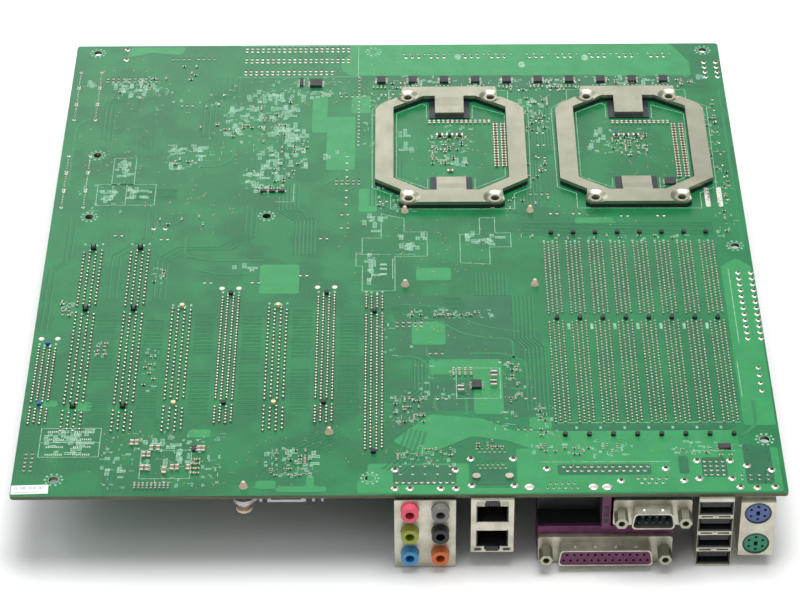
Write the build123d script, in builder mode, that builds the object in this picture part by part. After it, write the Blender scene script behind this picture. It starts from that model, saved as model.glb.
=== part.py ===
"""Dual-socket server motherboard lying component side down, solder side up.

Frame: +Z up, the floor at Z = 0, the board's width along X and its depth along Y, rear connectors towards -Y.
Inside the script, places on the board are given from its left rear corner: x to the right, y to the front.
Parts on the underside hang below the board, so their heights are extruded downwards.
"""

import os

from build123d import *

# ---------------------------------------------------------------- driving dimensions, mm
BOARD_W = 304.8
BOARD_D = 330.2
BOARD_T = 1.6
STAND = 34.7  # height of the rear connector stacks that the board rests on
IO_REACH = 6.4  # how far the jackscrews stand out past the rear edge
LEFT = -BOARD_W / 2
REAR = (IO_REACH - BOARD_D) / 2
INCH = 25.4

MOUNT_HOLE_R = 1.98
MOUNT_HOLES = [
    (16.51, 10.16),
    (140.97, 10.16),
    (298.45, 33.02),
    (298.45, 165.1),
    (16.51, 189.23),
    (94.6, 189.23),
    (16.51, 237.49),
    (10.16, 323.85),
    (140.97, 323.85),
    (297.2, 323.85),
]

CPU_CENTRES = [(176.2, 238.8), (258.8, 238.8)]
COOLER_DX = 38.2
COOLER_DY = 81.4
SLEEVE_R = 3.0
SLEEVE_BORE_R = 1.9

DIMM_COUNT = 8
DIMM_PITCH = 9.65
DIMM_X = [219.0 + DIMM_PITCH * i for i in range(DIMM_COUNT)]
DIMM_MID_Y = 106.1
DIMM_PEGS_Y = (36.2, 113.3, 175.0)
PEG_R = 1.0
PEG_HOLE_R = 1.1
PEG_RISE = 1.3  # pegs stand this far above the solder face

SLOT_PITCH = 0.8 * INCH
# expansion slots: centre x, rear end y, front end y, key places y, peg places y
PCI_X_LONG = [(SLOT_PITCH * n, 36.5, 168.5, (55.5, 121.0), (55.5, 121.0, 165.0)) for n in (1, 2)]
PCI_SHORT = [(SLOT_PITCH * n, 36.5, 126.5, (57.5,), (57.5, 123.2)) for n in (3, 5)]
PCIE_X16 = [(SLOT_PITCH * n, 43.0, 134.5, (57.6,), (57.6, 132.0)) for n in (4, 6)]
PCIE_X8 = [(6.45, 43.2, 99.8, (57.4,), (57.4, 97.6))]
RISER = [(SLOT_PITCH * 7, 24.0, 133.0, (118.7,), (26.2, 118.7))]
CLIP_SLOTS = PCIE_X8 + PCIE_X16

NORTHBRIDGE = (183.0, 165.0)
NORTHBRIDGE_PIN_DX = 55.3
NORTHBRIDGE_PIN_DY = 54.6
SOUTHBRIDGE = (87.0, 245.0)
BRIDGE_CHIP = (107.95, 22.0)
BRIDGE_PINS = [(91.4, 5.3), (124.5, 38.7)]
PUSH_PIN_R = 1.45
PUSH_PIN_HOLE_R = 1.6
NORTHBRIDGE_PINS = [
    (NORTHBRIDGE[0] + sx * NORTHBRIDGE_PIN_DX / 2, NORTHBRIDGE[1] + sy * NORTHBRIDGE_PIN_DY / 2)
    for sx in (-1, 1)
    for sy in (-1, 1)
]

AUDIO_X = (150.5, 174.7)
AUDIO_JACK_X = (156.6, 168.6)
AUDIO_REACH = 5.2
AUDIO_JACK_DROPS = (4.8, 16.0, 27.2)  # jack axes below the underside
JACK_BORE_R = 1.8
LAN_X = (180.6, 197.5)
LAN_DROP = 26.9
LPT_X = (207.2, 260.6)
LPT_AXIS_DROP = 27.4
LPT_SCREW_DX = 47.04
COM_MID_X = 252.0
COM_AXIS_DROP = 8.5
COM_SCREW_DX = 24.99
USB_X = (269.9, 283.6)
PS2_X = (286.4, 300.1)
FACE_Y = -1.5  # plane of the connectors' faces
FLANGE_Y = 0.5  # plane of the D-connectors' flanges
FLANGE_T = 2.0
SKIRT = 5.6

SOLDER_FACE = Plane((LEFT, REAR, STAND + BOARD_T))
UNDERSIDE = Plane((LEFT, REAR, STAND))


def below(drop):
    """Sketch plane in board places, this far below the underside."""
    return UNDERSIDE.offset(-drop)


def side_plane(x):
    """Vertical plane across X: sketch x is the board's y, sketch y is height above the underside."""
    return Plane(origin=(LEFT + x, REAR, STAND), x_dir=(0, 1, 0), z_dir=(1, 0, 0))


def rear_plane(y):
    """Vertical plane facing out of the rear: sketch x is the board's x, sketch y is height."""
    return Plane(origin=(LEFT, REAR + y, STAND), x_dir=(1, 0, 0), z_dir=(0, -1, 0))


def slab(x0, x1, y0, y1, drop0, drop1, mode=Mode.ADD):
    """A block in the open part, by its board places and its drops below the underside."""
    with BuildSketch(below(drop0)) as outline:
        with Locations(((x0 + x1) / 2, (y0 + y1) / 2)):
            Rectangle(x1 - x0, y1 - y0)
    extrude(outline.sketch, amount=drop0 - drop1, mode=mode)


def discs(places, radius, drop0, drop1, mode=Mode.ADD):
    """Upright cylinders in the open part, one at each place."""
    with BuildSketch(below(drop0)) as outline:
        with Locations(*places):
            Circle(radius)
    extrude(outline.sketch, amount=drop0 - drop1, mode=mode)


def pegs(places, root):
    """Locating pegs from a housing's foot through the board, with rounded tips."""
    discs(places, PEG_R, -BOARD_T - PEG_RISE, root)


def save(piece, label):
    piece.part.label = label
    export_step(piece.part, f"parts/{label}.step")


# ---------------------------------------------------------------- board and its fixings
def slot_peg_places():
    rows = PCI_X_LONG + PCI_SHORT + PCIE_X16 + PCIE_X8 + RISER
    return [(row[0], y) for row in rows for y in row[4]]


def dimm_peg_places():
    return [(x, y) for x in DIMM_X for y in DIMM_PEGS_Y]


def sleeve_places():
    return [
        (cx + sx * COOLER_DX / 2, cy + sy * COOLER_DY / 2)
        for cx, cy in CPU_CENTRES
        for sx in (-1, 1)
        for sy in (-1, 1)
    ]


LAN_POSTS = [(182.9, 10.5), (195.9, 10.5)]
LAN_POST_R = 1.6


def make_pcb():
    with BuildPart() as pcb:
        with BuildSketch(UNDERSIDE):
            with Locations((BOARD_W / 2, BOARD_D / 2)):
                RectangleRounded(BOARD_W, BOARD_D, 1.5)
            with Locations(*MOUNT_HOLES):
                Circle(MOUNT_HOLE_R, mode=Mode.SUBTRACT)
            with Locations(*slot_peg_places(), *dimm_peg_places()):
                Circle(PEG_HOLE_R, mode=Mode.SUBTRACT)
            with Locations(*NORTHBRIDGE_PINS, *BRIDGE_PINS):
                Circle(PUSH_PIN_HOLE_R, mode=Mode.SUBTRACT)
            with Locations(*sleeve_places()):
                Circle(SLEEVE_R + 0.15, mode=Mode.SUBTRACT)
            with Locations(*LAN_POSTS):
                Circle(LAN_POST_R + 0.1, mode=Mode.SUBTRACT)
        extrude(amount=BOARD_T)
    save(pcb, "pcb")


DISH_R = 5.2
DISH_FLOOR_R = 3.3
DISH_DEPTH = 0.9
PLATE_LOW = 2.0  # underside of the steel plate above the solder face
PLATE_HIGH = 3.6
TAB_HALF_W = 6.6
PLATE_RIM = [
    (21.6, 49.0),
    (22.4, 41.4),
    (31.6, 34.4),
    (34.0, 30.2),
    (34.0, -26.2),
    (22.4, -34.6),
    (23.4, -42.6),
    (21.0, -44.4),
]
PLATE_WINDOW = [
    (TAB_HALF_W, 41.2),
    (12.0, 41.2),
    (25.8, 32.0),
    (25.8, -25.4),
    (12.6, -35.0),
    (TAB_HALF_W, -35.0),
]
TAB_ENDS = (29.0, -23.0)


def mirrored_outline(half, centre):
    """Closes a right-hand half outline with its mirror image about the plate's middle."""
    cx, cy = centre
    right = [(cx + x, cy + y) for x, y in half]
    left = [(cx - x, cy + y) for x, y in reversed(half)]
    Polyline(*right, *left, close=True)


TAB_DIP = 1.3


def backplate_tab(centre, root, end):
    """A tab of the plate that dips towards the board, so that it presses on the insulator."""
    cx, cy = centre
    step = 1 if end > root else -1
    dip = TAB_DIP
    bend = root + step * 1.2
    foot = bend + step * 5.5
    with BuildSketch(side_plane(cx - TAB_HALF_W)) as outline:
        with BuildLine():
            Polyline(
                (cy + root - step, BOARD_T + PLATE_LOW),
                (cy + root - step, BOARD_T + PLATE_HIGH),
                (cy + bend, BOARD_T + PLATE_HIGH),
                (cy + foot, BOARD_T + PLATE_HIGH - dip),
                (cy + end, BOARD_T + PLATE_HIGH - dip),
                (cy + end, BOARD_T + PLATE_LOW - dip),
                (cy + foot, BOARD_T + PLATE_LOW - dip),
                (cy + bend, BOARD_T + PLATE_LOW),
                close=True,
            )
        make_face()
    extrude(outline.sketch, amount=2 * TAB_HALF_W)


def make_backplate(number):
    centre = CPU_CENTRES[number - 1]
    cx, cy = centre
    with BuildPart() as plate:
        with BuildSketch(SOLDER_FACE.offset(PLATE_LOW)):
            with BuildLine():
                mirrored_outline(PLATE_RIM, centre)
            make_face()
            with BuildSketch(mode=Mode.PRIVATE) as window:
                with BuildLine():
                    mirrored_outline(PLATE_WINDOW, centre)
                make_face()
            add(window.sketch, mode=Mode.SUBTRACT)
            with Locations(centre):
                with GridLocations(COOLER_DX, COOLER_DY, 2, 2):
                    Circle(SLEEVE_R + 0.05, mode=Mode.SUBTRACT)
        extrude(amount=PLATE_HIGH - PLATE_LOW)
        fillet(plate.edges().filter_by(Axis.Z).filter_by(lambda e: e.length > 1.5), 0.8)
        backplate_tab(centre, 41.2, TAB_ENDS[0])
        backplate_tab(centre, -35.0, TAB_ENDS[1])
        with Locations(SOLDER_FACE.offset(PLATE_HIGH)):
            with Locations(centre):
                with GridLocations(COOLER_DX, COOLER_DY, 2, 2):
                    hang = (Align.CENTER, Align.CENTER, Align.MAX)
                    Cone(DISH_FLOOR_R, DISH_R, DISH_DEPTH, align=hang, mode=Mode.SUBTRACT)
    save(plate, f"cpu_backplate_{number}")


def make_insulators():
    pad_half_w = 9.3
    with BuildPart() as insulators:
        for centre in CPU_CENTRES:
            cx, cy = centre
            with BuildSketch(SOLDER_FACE):
                with BuildLine():
                    mirrored_outline(PLATE_RIM, centre)
                make_face()
                with BuildSketch(mode=Mode.PRIVATE) as window:
                    with BuildLine():
                        mirrored_outline(PLATE_WINDOW, centre)
                    make_face()
                add(window.sketch, mode=Mode.SUBTRACT)
                with Locations(centre):
                    with GridLocations(COOLER_DX, COOLER_DY, 2, 2):
                        Circle(SLEEVE_R + 0.1, mode=Mode.SUBTRACT)
            extrude(amount=PLATE_LOW)
            for root, end in ((41.2, 27.4), (-35.0, -21.4)):
                with BuildSketch(SOLDER_FACE):
                    with Locations((cx, cy + (root + end) / 2)):
                        Rectangle(2 * pad_half_w, abs(root - end) + 1)
                extrude(amount=0.6)
    save(insulators, "backplate_insulators")


SLEEVE_RIM_R = 4.4
SLEEVE_DROP = 1.2
SLEEVE_TOP = 3.0


def make_sleeves():
    with BuildPart() as sleeves:
        places = sleeve_places()
        discs(places, SLEEVE_R, -BOARD_T - SLEEVE_TOP, SLEEVE_DROP)
        discs(places, SLEEVE_RIM_R, 0, SLEEVE_DROP)
        discs(places, SLEEVE_BORE_R, -BOARD_T - SLEEVE_TOP, SLEEVE_DROP, mode=Mode.SUBTRACT)
    save(sleeves, "heatsink_standoffs")


# ---------------------------------------------------------------- processor sockets
SOCKET_HALF = 21.5
BAY_HALF = 18.95
SOCKET_H = 4.6
FRAME_HALF = 25.0
FRAME_LOW, FRAME_HIGH = 0.3, 1.5
PLATE_TOP, PLATE_BOTTOM = 5.6, 6.8  # the load plate's drops below the underside
HINGE_Y, HINGE_DROP = 24.8, 5.6
LEVER_Y, LEVER_DROP = -25.8, 2.9
LEVER_R = 1.0
ARM_X = 27.2
EAR_X = 14.2


def make_cpu_socket(number):
    cx, cy = CPU_CENTRES[number - 1]
    with BuildPart() as socket:
        slab(cx - SOCKET_HALF, cx + SOCKET_HALF, cy - SOCKET_HALF, cy + SOCKET_HALF, 0, SOCKET_H)
        slab(cx - BAY_HALF, cx + BAY_HALF, cy - BAY_HALF, cy + BAY_HALF, 1.2, SOCKET_H, Mode.SUBTRACT)
        slab(cx - 7, cx + 7, cy - 7, cy + 7, 0, 1.2, Mode.SUBTRACT)
        # finger notches in the side walls
        slab(cx - SOCKET_HALF, cx + SOCKET_HALF, cy - 6, cy + 6, 2.6, SOCKET_H, Mode.SUBTRACT)
    save(socket, f"cpu_socket_{number}")


def make_socket_frames():
    ear_t = 1.2
    with BuildPart() as frames:
        for cx, cy in CPU_CENTRES:
            slab(cx - FRAME_HALF, cx + FRAME_HALF, cy - 28.2, cy + 27.0, FRAME_LOW, FRAME_HIGH)
            inner = SOCKET_HALF + 0.2
            slab(cx - inner, cx + inner, cy - inner, cy + inner, FRAME_LOW, FRAME_HIGH, Mode.SUBTRACT)
            for side in (-1, 1):
                x = cx + side * EAR_X - ear_t / 2
                with BuildSketch(side_plane(x)):
                    with Locations((cy + HINGE_Y, -4.4)):
                        Rectangle(3.8, 6.0)
                    with Locations((cy + HINGE_Y, -HINGE_DROP)):
                        Circle(1.3, mode=Mode.SUBTRACT)
                extrude(amount=ear_t)
                with BuildSketch(side_plane(cx + side * EAR_X - 1.5)):
                    with Locations((cy + LEVER_Y, -(FRAME_HIGH + 3.0) / 2 - 0.7)):
                        Rectangle(4.4, 3.6)
                    with Locations((cy + LEVER_Y, -LEVER_DROP)):
                        Circle(LEVER_R + 0.1, mode=Mode.SUBTRACT)
                extrude(amount=3.0)
            # keeper tab beside the lever's arm
            slab(cx + FRAME_HALF, cx + 30.0, cy + 9, cy + 13, FRAME_LOW, FRAME_HIGH)
            slab(cx + 28.8, cx + 30.0, cy + 9, cy + 13, FRAME_LOW, 5.0)
    save(frames, "socket_frames")


def make_load_plate(number):
    cx, cy = CPU_CENTRES[number - 1]
    with BuildPart() as plate:
        slab(cx - 20.5, cx + 20.5, cy - 21.6, cy + 21.6, PLATE_TOP, PLATE_BOTTOM)
        fillet(plate.edges().filter_by(Axis.Z), 2.0)
        with BuildSketch(below(PLATE_TOP)):
            with Locations((cx, cy)):
                RectangleRounded(29.0, 31.0, 2.5)
        extrude(amount=PLATE_TOP - PLATE_BOTTOM, mode=Mode.SUBTRACT)
        slab(cx - 12.4, cx + 12.4, cy + 21.0, cy + HINGE_Y, PLATE_TOP, PLATE_BOTTOM)
        with BuildSketch(side_plane(cx - 16)):
            with Locations((cy + HINGE_Y, -HINGE_DROP)):
                Circle(1.2)
        extrude(amount=32)
    save(plate, f"load_plate_{number}")


def make_load_lever(number):
    cx, cy = CPU_CENTRES[number - 1]
    axle_y = cy + LEVER_Y
    crank_y = axle_y + 2.3
    places = [
        (cx - 18.5, axle_y),
        (cx - 8.5, axle_y),
        (cx - 6.5, crank_y),
        (cx + 6.5, crank_y),
        (cx + 8.5, axle_y),
        (cx + ARM_X, axle_y),
        (cx + ARM_X, cy + 16.0),
        (cx + ARM_X + 3.2, cy + 22.0),
    ]
    path = [(LEFT + x, REAR + y, STAND - LEVER_DROP) for x, y in places]
    with BuildPart() as lever:
        with BuildLine() as rod:
            FilletPolyline(*path, radius=1.3)
        with BuildSketch(Plane(origin=rod.line @ 0, z_dir=rod.line % 0)):
            Circle(LEVER_R)
        sweep()
    save(lever, f"load_lever_{number}")


# ---------------------------------------------------------------- memory slots and latches
DIMM_HALF_LEN = 74.4
DIMM_TOWER_IN = 63.4
DIMM_MODULE_HALF = 67.0
DIMM_HALF_W = 3.7
DIMM_BODY_H = 8.6
DIMM_TOWER_H = 17.0
LATCH_GAP_HALF_W = 2.6
LATCH_HALF_W = 2.3
LATCH_PIVOT = 70.6  # from the slot's middle
LATCH_PIVOT_DROP = 5.2
TRUNNION_R = 0.9


def make_dimm_slots():
    with BuildPart() as slots:
        for x in DIMM_X:
            mid = DIMM_MID_Y
            slab(x - DIMM_HALF_W, x + DIMM_HALF_W, mid - DIMM_HALF_LEN, mid + DIMM_HALF_LEN, 0, DIMM_BODY_H)
            for end in (-1, 1):
                near, far = sorted((mid + end * DIMM_TOWER_IN, mid + end * DIMM_HALF_LEN))
                slab(x - DIMM_HALF_W, x + DIMM_HALF_W, near, far, DIMM_BODY_H, DIMM_TOWER_H)
                near, far = sorted((mid + end * (DIMM_MODULE_HALF + 0.3), mid + end * DIMM_HALF_LEN))
                slab(x - LATCH_GAP_HALF_W, x + LATCH_GAP_HALF_W, near, far, 1.6, DIMM_TOWER_H, Mode.SUBTRACT)
                with BuildSketch(side_plane(x - DIMM_HALF_W)):
                    with Locations((mid + end * LATCH_PIVOT, -LATCH_PIVOT_DROP)):
                        Circle(TRUNNION_R + 0.08)
                extrude(amount=2 * DIMM_HALF_W, mode=Mode.SUBTRACT)
            # groove for the module, with the key left standing
            key = DIMM_PEGS_Y[1]
            slab(x - 0.75, x + 0.75, mid - DIMM_MODULE_HALF, key - 1.0, 4.0, DIMM_TOWER_H, Mode.SUBTRACT)
            slab(x - 0.75, x + 0.75, key + 1.0, mid + DIMM_MODULE_HALF, 4.0, DIMM_TOWER_H, Mode.SUBTRACT)
        pegs(dimm_peg_places(), 0)
    save(slots, "dimm_slots")


LATCH_PROFILE = [
    (-2.0, 0.0),
    (-2.0, 3.0),
    (-0.4, 5.0),
    (-0.4, 12.8),
    (-3.4, 13.4),
    (-3.4, 14.4),
    (-0.2, 17.4),
    (1.6, 19.0),
    (5.4, 19.0),
    (5.4, 17.6),
    (2.6, 15.6),
    (2.6, 5.0),
    (2.0, 0.0),
]


def make_dimm_latch(slot, end, label):
    """One ejector latch. Its profile is given from the pivot: outwards along the slot, then downwards."""
    x = DIMM_X[slot]
    pivot = DIMM_MID_Y + end * LATCH_PIVOT
    profile = [(pivot + end * out, -LATCH_PIVOT_DROP - down) for out, down in LATCH_PROFILE]
    with BuildPart() as latch:
        with BuildSketch(side_plane(x - LATCH_HALF_W)):
            with BuildLine():
                Polyline(*profile, close=True)
            make_face()
            with Locations((pivot, -LATCH_PIVOT_DROP)):
                Circle(2.0)
        extrude(amount=2 * LATCH_HALF_W)
        with BuildSketch(side_plane(x - DIMM_HALF_W)):
            with Locations((pivot, -LATCH_PIVOT_DROP)):
                Circle(TRUNNION_R)
        extrude(amount=2 * DIMM_HALF_W)
    save(latch, label)


# ---------------------------------------------------------------- expansion slots
PCI_HALF_W, PCI_H = 4.3, 15.0
PCIE_HALF_W, PCIE_H = 3.8, 11.2
CLIP_BASE_LEN = 6.4
CLIP_HALF_W = 1.9
CLIP_PIVOT_OUT = 3.4
CLIP_PIVOT_DROP = 4.0


def slot_body(row, half_w, height, groove_half_w):
    """One edge-connector housing with its card groove broken by the keys, and its pegs."""
    x, rear, front, keys, peg_places = row
    slab(x - half_w, x + half_w, rear, front, 0, height)
    stops = [rear + 2.0, *keys, front - 2.0]
    for index in range(len(stops) - 1):
        start = stops[index] + (1.1 if index else 0)
        stop = stops[index + 1] - (1.1 if index + 1 < len(stops) - 1 else 0)
        slab(x - groove_half_w, x + groove_half_w, start, stop, height - 7.6, height, Mode.SUBTRACT)
    pegs([(x, y) for y in peg_places], 0)


def make_pci_slots():
    with BuildPart() as slots:
        for row in PCI_X_LONG + PCI_SHORT:
            slot_body(row, PCI_HALF_W, PCI_H, 0.95)
    save(slots, "pci_slots")


def make_pcie_slots():
    with BuildPart() as slots:
        for row in PCIE_X8 + PCIE_X16 + RISER:
            slot_body(row, PCIE_HALF_W, PCIE_H, 0.95)
        for x, rear, front, keys, peg_places in CLIP_SLOTS:
            slab(x - PCIE_HALF_W, x + PCIE_HALF_W, front, front + CLIP_BASE_LEN, 0, 6.4)
            gap = CLIP_HALF_W + 0.3
            slab(x - gap, x + gap, front + 0.8, front + CLIP_BASE_LEN, 1.2, 6.4, Mode.SUBTRACT)
            with BuildSketch(side_plane(x - PCIE_HALF_W)):
                with Locations((front + CLIP_PIVOT_OUT, -CLIP_PIVOT_DROP)):
                    Circle(0.88)
            extrude(amount=2 * PCIE_HALF_W, mode=Mode.SUBTRACT)
    save(slots, "pcie_slots")


CLIP_PROFILE = [
    (-1.6, 0.0),
    (-1.0, 3.6),
    (-1.0, 8.0),
    (-4.6, 8.6),
    (-4.6, 9.6),
    (-1.4, 11.4),
    (1.0, 11.6),
    (4.6, 10.4),
    (4.6, 9.2),
    (1.2, 8.4),
    (1.2, 3.0),
    (1.6, 0.0),
]


def make_pcie_clip(number):
    x, _, front = CLIP_SLOTS[number - 1][:3]
    pivot = front + CLIP_PIVOT_OUT
    profile = [(pivot + out, -CLIP_PIVOT_DROP - down) for out, down in CLIP_PROFILE]
    with BuildPart() as clip:
        with BuildSketch(side_plane(x - CLIP_HALF_W)):
            with BuildLine():
                Polyline(*profile, close=True)
            make_face()
            with Locations((pivot, -CLIP_PIVOT_DROP)):
                Circle(1.6)
        extrude(amount=2 * CLIP_HALF_W)
        with BuildSketch(side_plane(x - PCIE_HALF_W)):
            with Locations((pivot, -CLIP_PIVOT_DROP)):
                Circle(0.8)
        extrude(amount=2 * PCIE_HALF_W)
    save(clip, f"pcie_clip_{number}")


# ---------------------------------------------------------------- rear connectors
def make_audio():
    module_back = 9.0
    with BuildPart() as jacks:
        for x in AUDIO_JACK_X:
            for drop in AUDIO_JACK_DROPS:
                with BuildSketch(rear_plane(FACE_Y + 0.5)):
                    with Locations((x, -drop)):
                        Rectangle(11.4, 9.4)
                extrude(amount=-(module_back - FACE_Y - 0.5))
                with BuildSketch(rear_plane(module_back)):
                    with Locations((x, -drop)):
                        Circle(3.5)
                extrude(amount=module_back + AUDIO_REACH)
                with BuildSketch(rear_plane(module_back)):
                    with Locations((x, -drop)):
                        Circle(JACK_BORE_R)
                extrude(amount=module_back + AUDIO_REACH, mode=Mode.SUBTRACT)
    save(jacks, "audio_jacks")
    with BuildPart() as stack:
        left, right = AUDIO_X[0] + 0.2, AUDIO_X[1] - 0.2
        front, back = FACE_Y + 0.5, module_back + 0.1
        slab(left, right, back, 20.0, 0, STAND)
        # floor plate and shelves that carry the jack modules
        slab(left, right, front, back, AUDIO_JACK_DROPS[2] + 4.8, STAND)
        for upper in AUDIO_JACK_DROPS[:2]:
            slab(left, right, front, back, upper + 4.8, upper + 6.4)
    save(stack, "audio_stack")
    with BuildPart() as face:
        with BuildSketch(rear_plane(FACE_Y + 0.5)):
            with Locations(((AUDIO_X[0] + AUDIO_X[1]) / 2, -STAND / 2)):
                Rectangle(AUDIO_X[1] - AUDIO_X[0], STAND - 0.4)
            with Locations(*[(x, -drop) for x in AUDIO_JACK_X for drop in AUDIO_JACK_DROPS]):
                Circle(3.65, mode=Mode.SUBTRACT)
        extrude(amount=0.5)
    save(face, "audio_faceplate")


LAN_PORTS = ((3.0, 11.3), (15.7, 24.0))  # top and bottom of each port below the underside


def make_lan():
    mid = (LAN_X[0] + LAN_X[1]) / 2
    with BuildPart() as lan:
        slab(LAN_X[0], LAN_X[1], FACE_Y, 30.0, 0, LAN_DROP)
        for top, bottom in LAN_PORTS:
            slab(mid - 5.95, mid + 5.95, FACE_Y, 11.5, top, bottom, Mode.SUBTRACT)
        # latch notches: towards the board on the upper port, away from it on the lower
        slab(mid - 3.1, mid + 3.1, FACE_Y, 9.0, 1.3, LAN_PORTS[0][0], Mode.SUBTRACT)
        slab(mid - 3.1, mid + 3.1, FACE_Y, 9.0, LAN_PORTS[1][1], 25.7, Mode.SUBTRACT)
        discs(LAN_POSTS, LAN_POST_R, -BOARD_T - 0.9, 0)
    save(lan, "lan_stack")


def d_outline(mid_x, drop, half_w, half_h, slant=1.1):
    """D-shaped outline in a rear plane, with its wide side away from the board."""
    with BuildSketch(Plane.XY, mode=Mode.PRIVATE) as shape:
        with BuildLine():
            Polyline(
                (-half_w + slant, half_h),
                (half_w - slant, half_h),
                (half_w, -half_h),
                (-half_w, -half_h),
                close=True,
            )
        make_face()
        fillet(shape.vertices(), 1.6)
    return shape.sketch.moved(Location((mid_x, -drop)))


def d_shell(mid_x, drop, flange_w, half_w, screw_dx):
    """Metal flange with its D-shaped skirt, open at the front."""
    with BuildSketch(rear_plane(FLANGE_Y + FLANGE_T)) as flange:
        with Locations((mid_x, -drop)):
            RectangleRounded(flange_w, 12.8, 1.2)
            with GridLocations(screw_dx, 1, 2, 1):
                Circle(1.7, mode=Mode.SUBTRACT)
        add(d_outline(mid_x, drop, half_w - 0.5, 3.4), mode=Mode.SUBTRACT)
    extrude(flange.sketch, amount=FLANGE_T)
    with BuildSketch(rear_plane(FLANGE_Y)) as skirt:
        add(d_outline(mid_x, drop, half_w, 3.9))
        add(d_outline(mid_x, drop, half_w - 0.5, 3.4), mode=Mode.SUBTRACT)
    extrude(skirt.sketch, amount=SKIRT)


def pin_rows(mid_x, drop, upper, lower, radius):
    """Two rows of round pins or holes in a rear plane, the shorter row away from the board or towards it."""
    with Locations((mid_x, -drop + 1.42)):
        with GridLocations(2.76, 1, upper, 1):
            Circle(radius)
    with Locations((mid_x, -drop - 1.42)):
        with GridLocations(2.76, 1, lower, 1):
            Circle(radius)


def make_parallel_port():
    x0, x1 = LPT_X
    mid = (x0 + x1) / 2
    back = FLANGE_Y + FLANGE_T
    with BuildPart() as housing:
        # deck with the connector block, back wall down to the board, and a rib beside the empty bay
        slab(x0, x1, back, 19.0, 17.0, STAND)
        slab(x0, x1, 12.6, 19.0, 0, 17.0)
        slab(232.2, 235.6, back - 1.8, 12.6, 0, 17.0)
        with BuildSketch(rear_plane(back)):
            add(d_outline(mid, LPT_AXIS_DROP, 18.35, 3.35))
        extrude(amount=FLANGE_T + SKIRT - 0.4)
        with BuildSketch(rear_plane(FLANGE_Y - SKIRT + 0.4)):
            pin_rows(mid, LPT_AXIS_DROP, 12, 13, 0.55)
        extrude(amount=-5.0, mode=Mode.SUBTRACT)
    save(housing, "parallel_port_housing")
    with BuildPart() as shell:
        d_shell(mid, LPT_AXIS_DROP, x1 - x0 - 0.3, 18.9, LPT_SCREW_DX)
    save(shell, "parallel_port_shell")


def make_serial_port():
    back = FLANGE_Y + FLANGE_T
    with BuildPart() as housing:
        slab(COM_MID_X - 15.2, COM_MID_X + 15.2, back, 12.0, 0.6, 16.0)
        slab(COM_MID_X - 14.4, COM_MID_X + 14.4, 6.0, 12.0, 0, 0.6)
        with BuildSketch(rear_plane(back)):
            add(d_outline(COM_MID_X, COM_AXIS_DROP, 8.05, 3.35))
        extrude(amount=FLANGE_T - 0.4)
        with BuildSketch(rear_plane(FLANGE_Y + 0.4)):
            pin_rows(COM_MID_X, COM_AXIS_DROP, 4, 5, 0.5)
        extrude(amount=4.8)
    save(housing, "serial_port_housing")
    with BuildPart() as shell:
        d_shell(COM_MID_X, COM_AXIS_DROP, 30.8, 8.6, COM_SCREW_DX)
    save(shell, "serial_port_shell")


def screw_places():
    mid = (LPT_X[0] + LPT_X[1]) / 2
    return [
        *[(mid + s * LPT_SCREW_DX / 2, -LPT_AXIS_DROP) for s in (-1, 1)],
        *[(COM_MID_X + s * COM_SCREW_DX / 2, -COM_AXIS_DROP) for s in (-1, 1)],
    ]


JACKSCREW_BORE_R = 1.3
JACKSCREW_BORE = 6.0


def make_jackscrews():
    with BuildPart() as screws:
        with BuildSketch(rear_plane(FLANGE_Y)):
            with Locations(*screw_places()):
                RegularPolygon(2.75, 6)
        extrude(amount=IO_REACH + FLANGE_Y)
        with BuildSketch(rear_plane(-IO_REACH)):
            with Locations(*screw_places()):
                Circle(JACKSCREW_BORE_R)
        extrude(amount=-JACKSCREW_BORE, mode=Mode.SUBTRACT)
    save(screws, "jackscrews")


USB_AXIS_DROPS = (4.9, 13.4, 21.9, 30.5)


def make_usb():
    mid = (USB_X[0] + USB_X[1]) / 2
    with BuildPart() as usb:
        slab(USB_X[0], USB_X[1], FACE_Y, 20.5, 0, STAND)
        for drop in USB_AXIS_DROPS:
            slab(mid - 6.25, mid + 6.25, FACE_Y, 10.0, drop - 2.56, drop + 2.56, Mode.SUBTRACT)
            slab(mid - 5.6, mid + 5.6, -0.4, 10.0, drop - 1.9, drop + 0.1)
    save(usb, "usb_stack")


PS2_AXIS_DROPS = (7.6, 23.2)


def make_ps2():
    x0, x1 = PS2_X
    mid = (x0 + x1) / 2
    places = [(mid, -drop) for drop in PS2_AXIS_DROPS]
    with BuildPart() as stack:
        slab(x0, x1, FACE_Y, 17.0, 2.0, 29.2)
        slab(x0 + 0.4, x1 - 0.4, 1.0, 17.0, 0, 2.0)
        with BuildSketch(rear_plane(-FACE_Y * 6)):
            with Locations(*places):
                Circle(4.85)
        extrude(amount=-FACE_Y * 7 + 0.1, mode=Mode.SUBTRACT)
    save(stack, "ps2_stack")
    with BuildPart() as sockets:
        with BuildSketch(rear_plane(-FACE_Y * 6)):
            with Locations(*places):
                Circle(4.75)
        extrude(amount=-FACE_Y * 7 - 0.2)
        with BuildSketch(rear_plane(FACE_Y + 0.2)):
            for place in places:
                with Locations(place):
                    with PolarLocations(3.1, 6, 30):
                        Circle(0.6)
                    with Locations((0, -0.2)):
                        Rectangle(1.5, 2.2)
        extrude(amount=-7.0, mode=Mode.SUBTRACT)
    save(sockets, "ps2_sockets")


# ---------------------------------------------------------------- heatsinks and their pins
PIN_HEAD_DROP = 9.4


def fins(x0, x1, y0, y1, drop0, drop1, count, thickness):
    step = (x1 - x0 - thickness) / (count - 1)
    for index in range(count):
        x = x0 + index * step
        slab(x, x + thickness, y0, y1, drop0, drop1)


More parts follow.
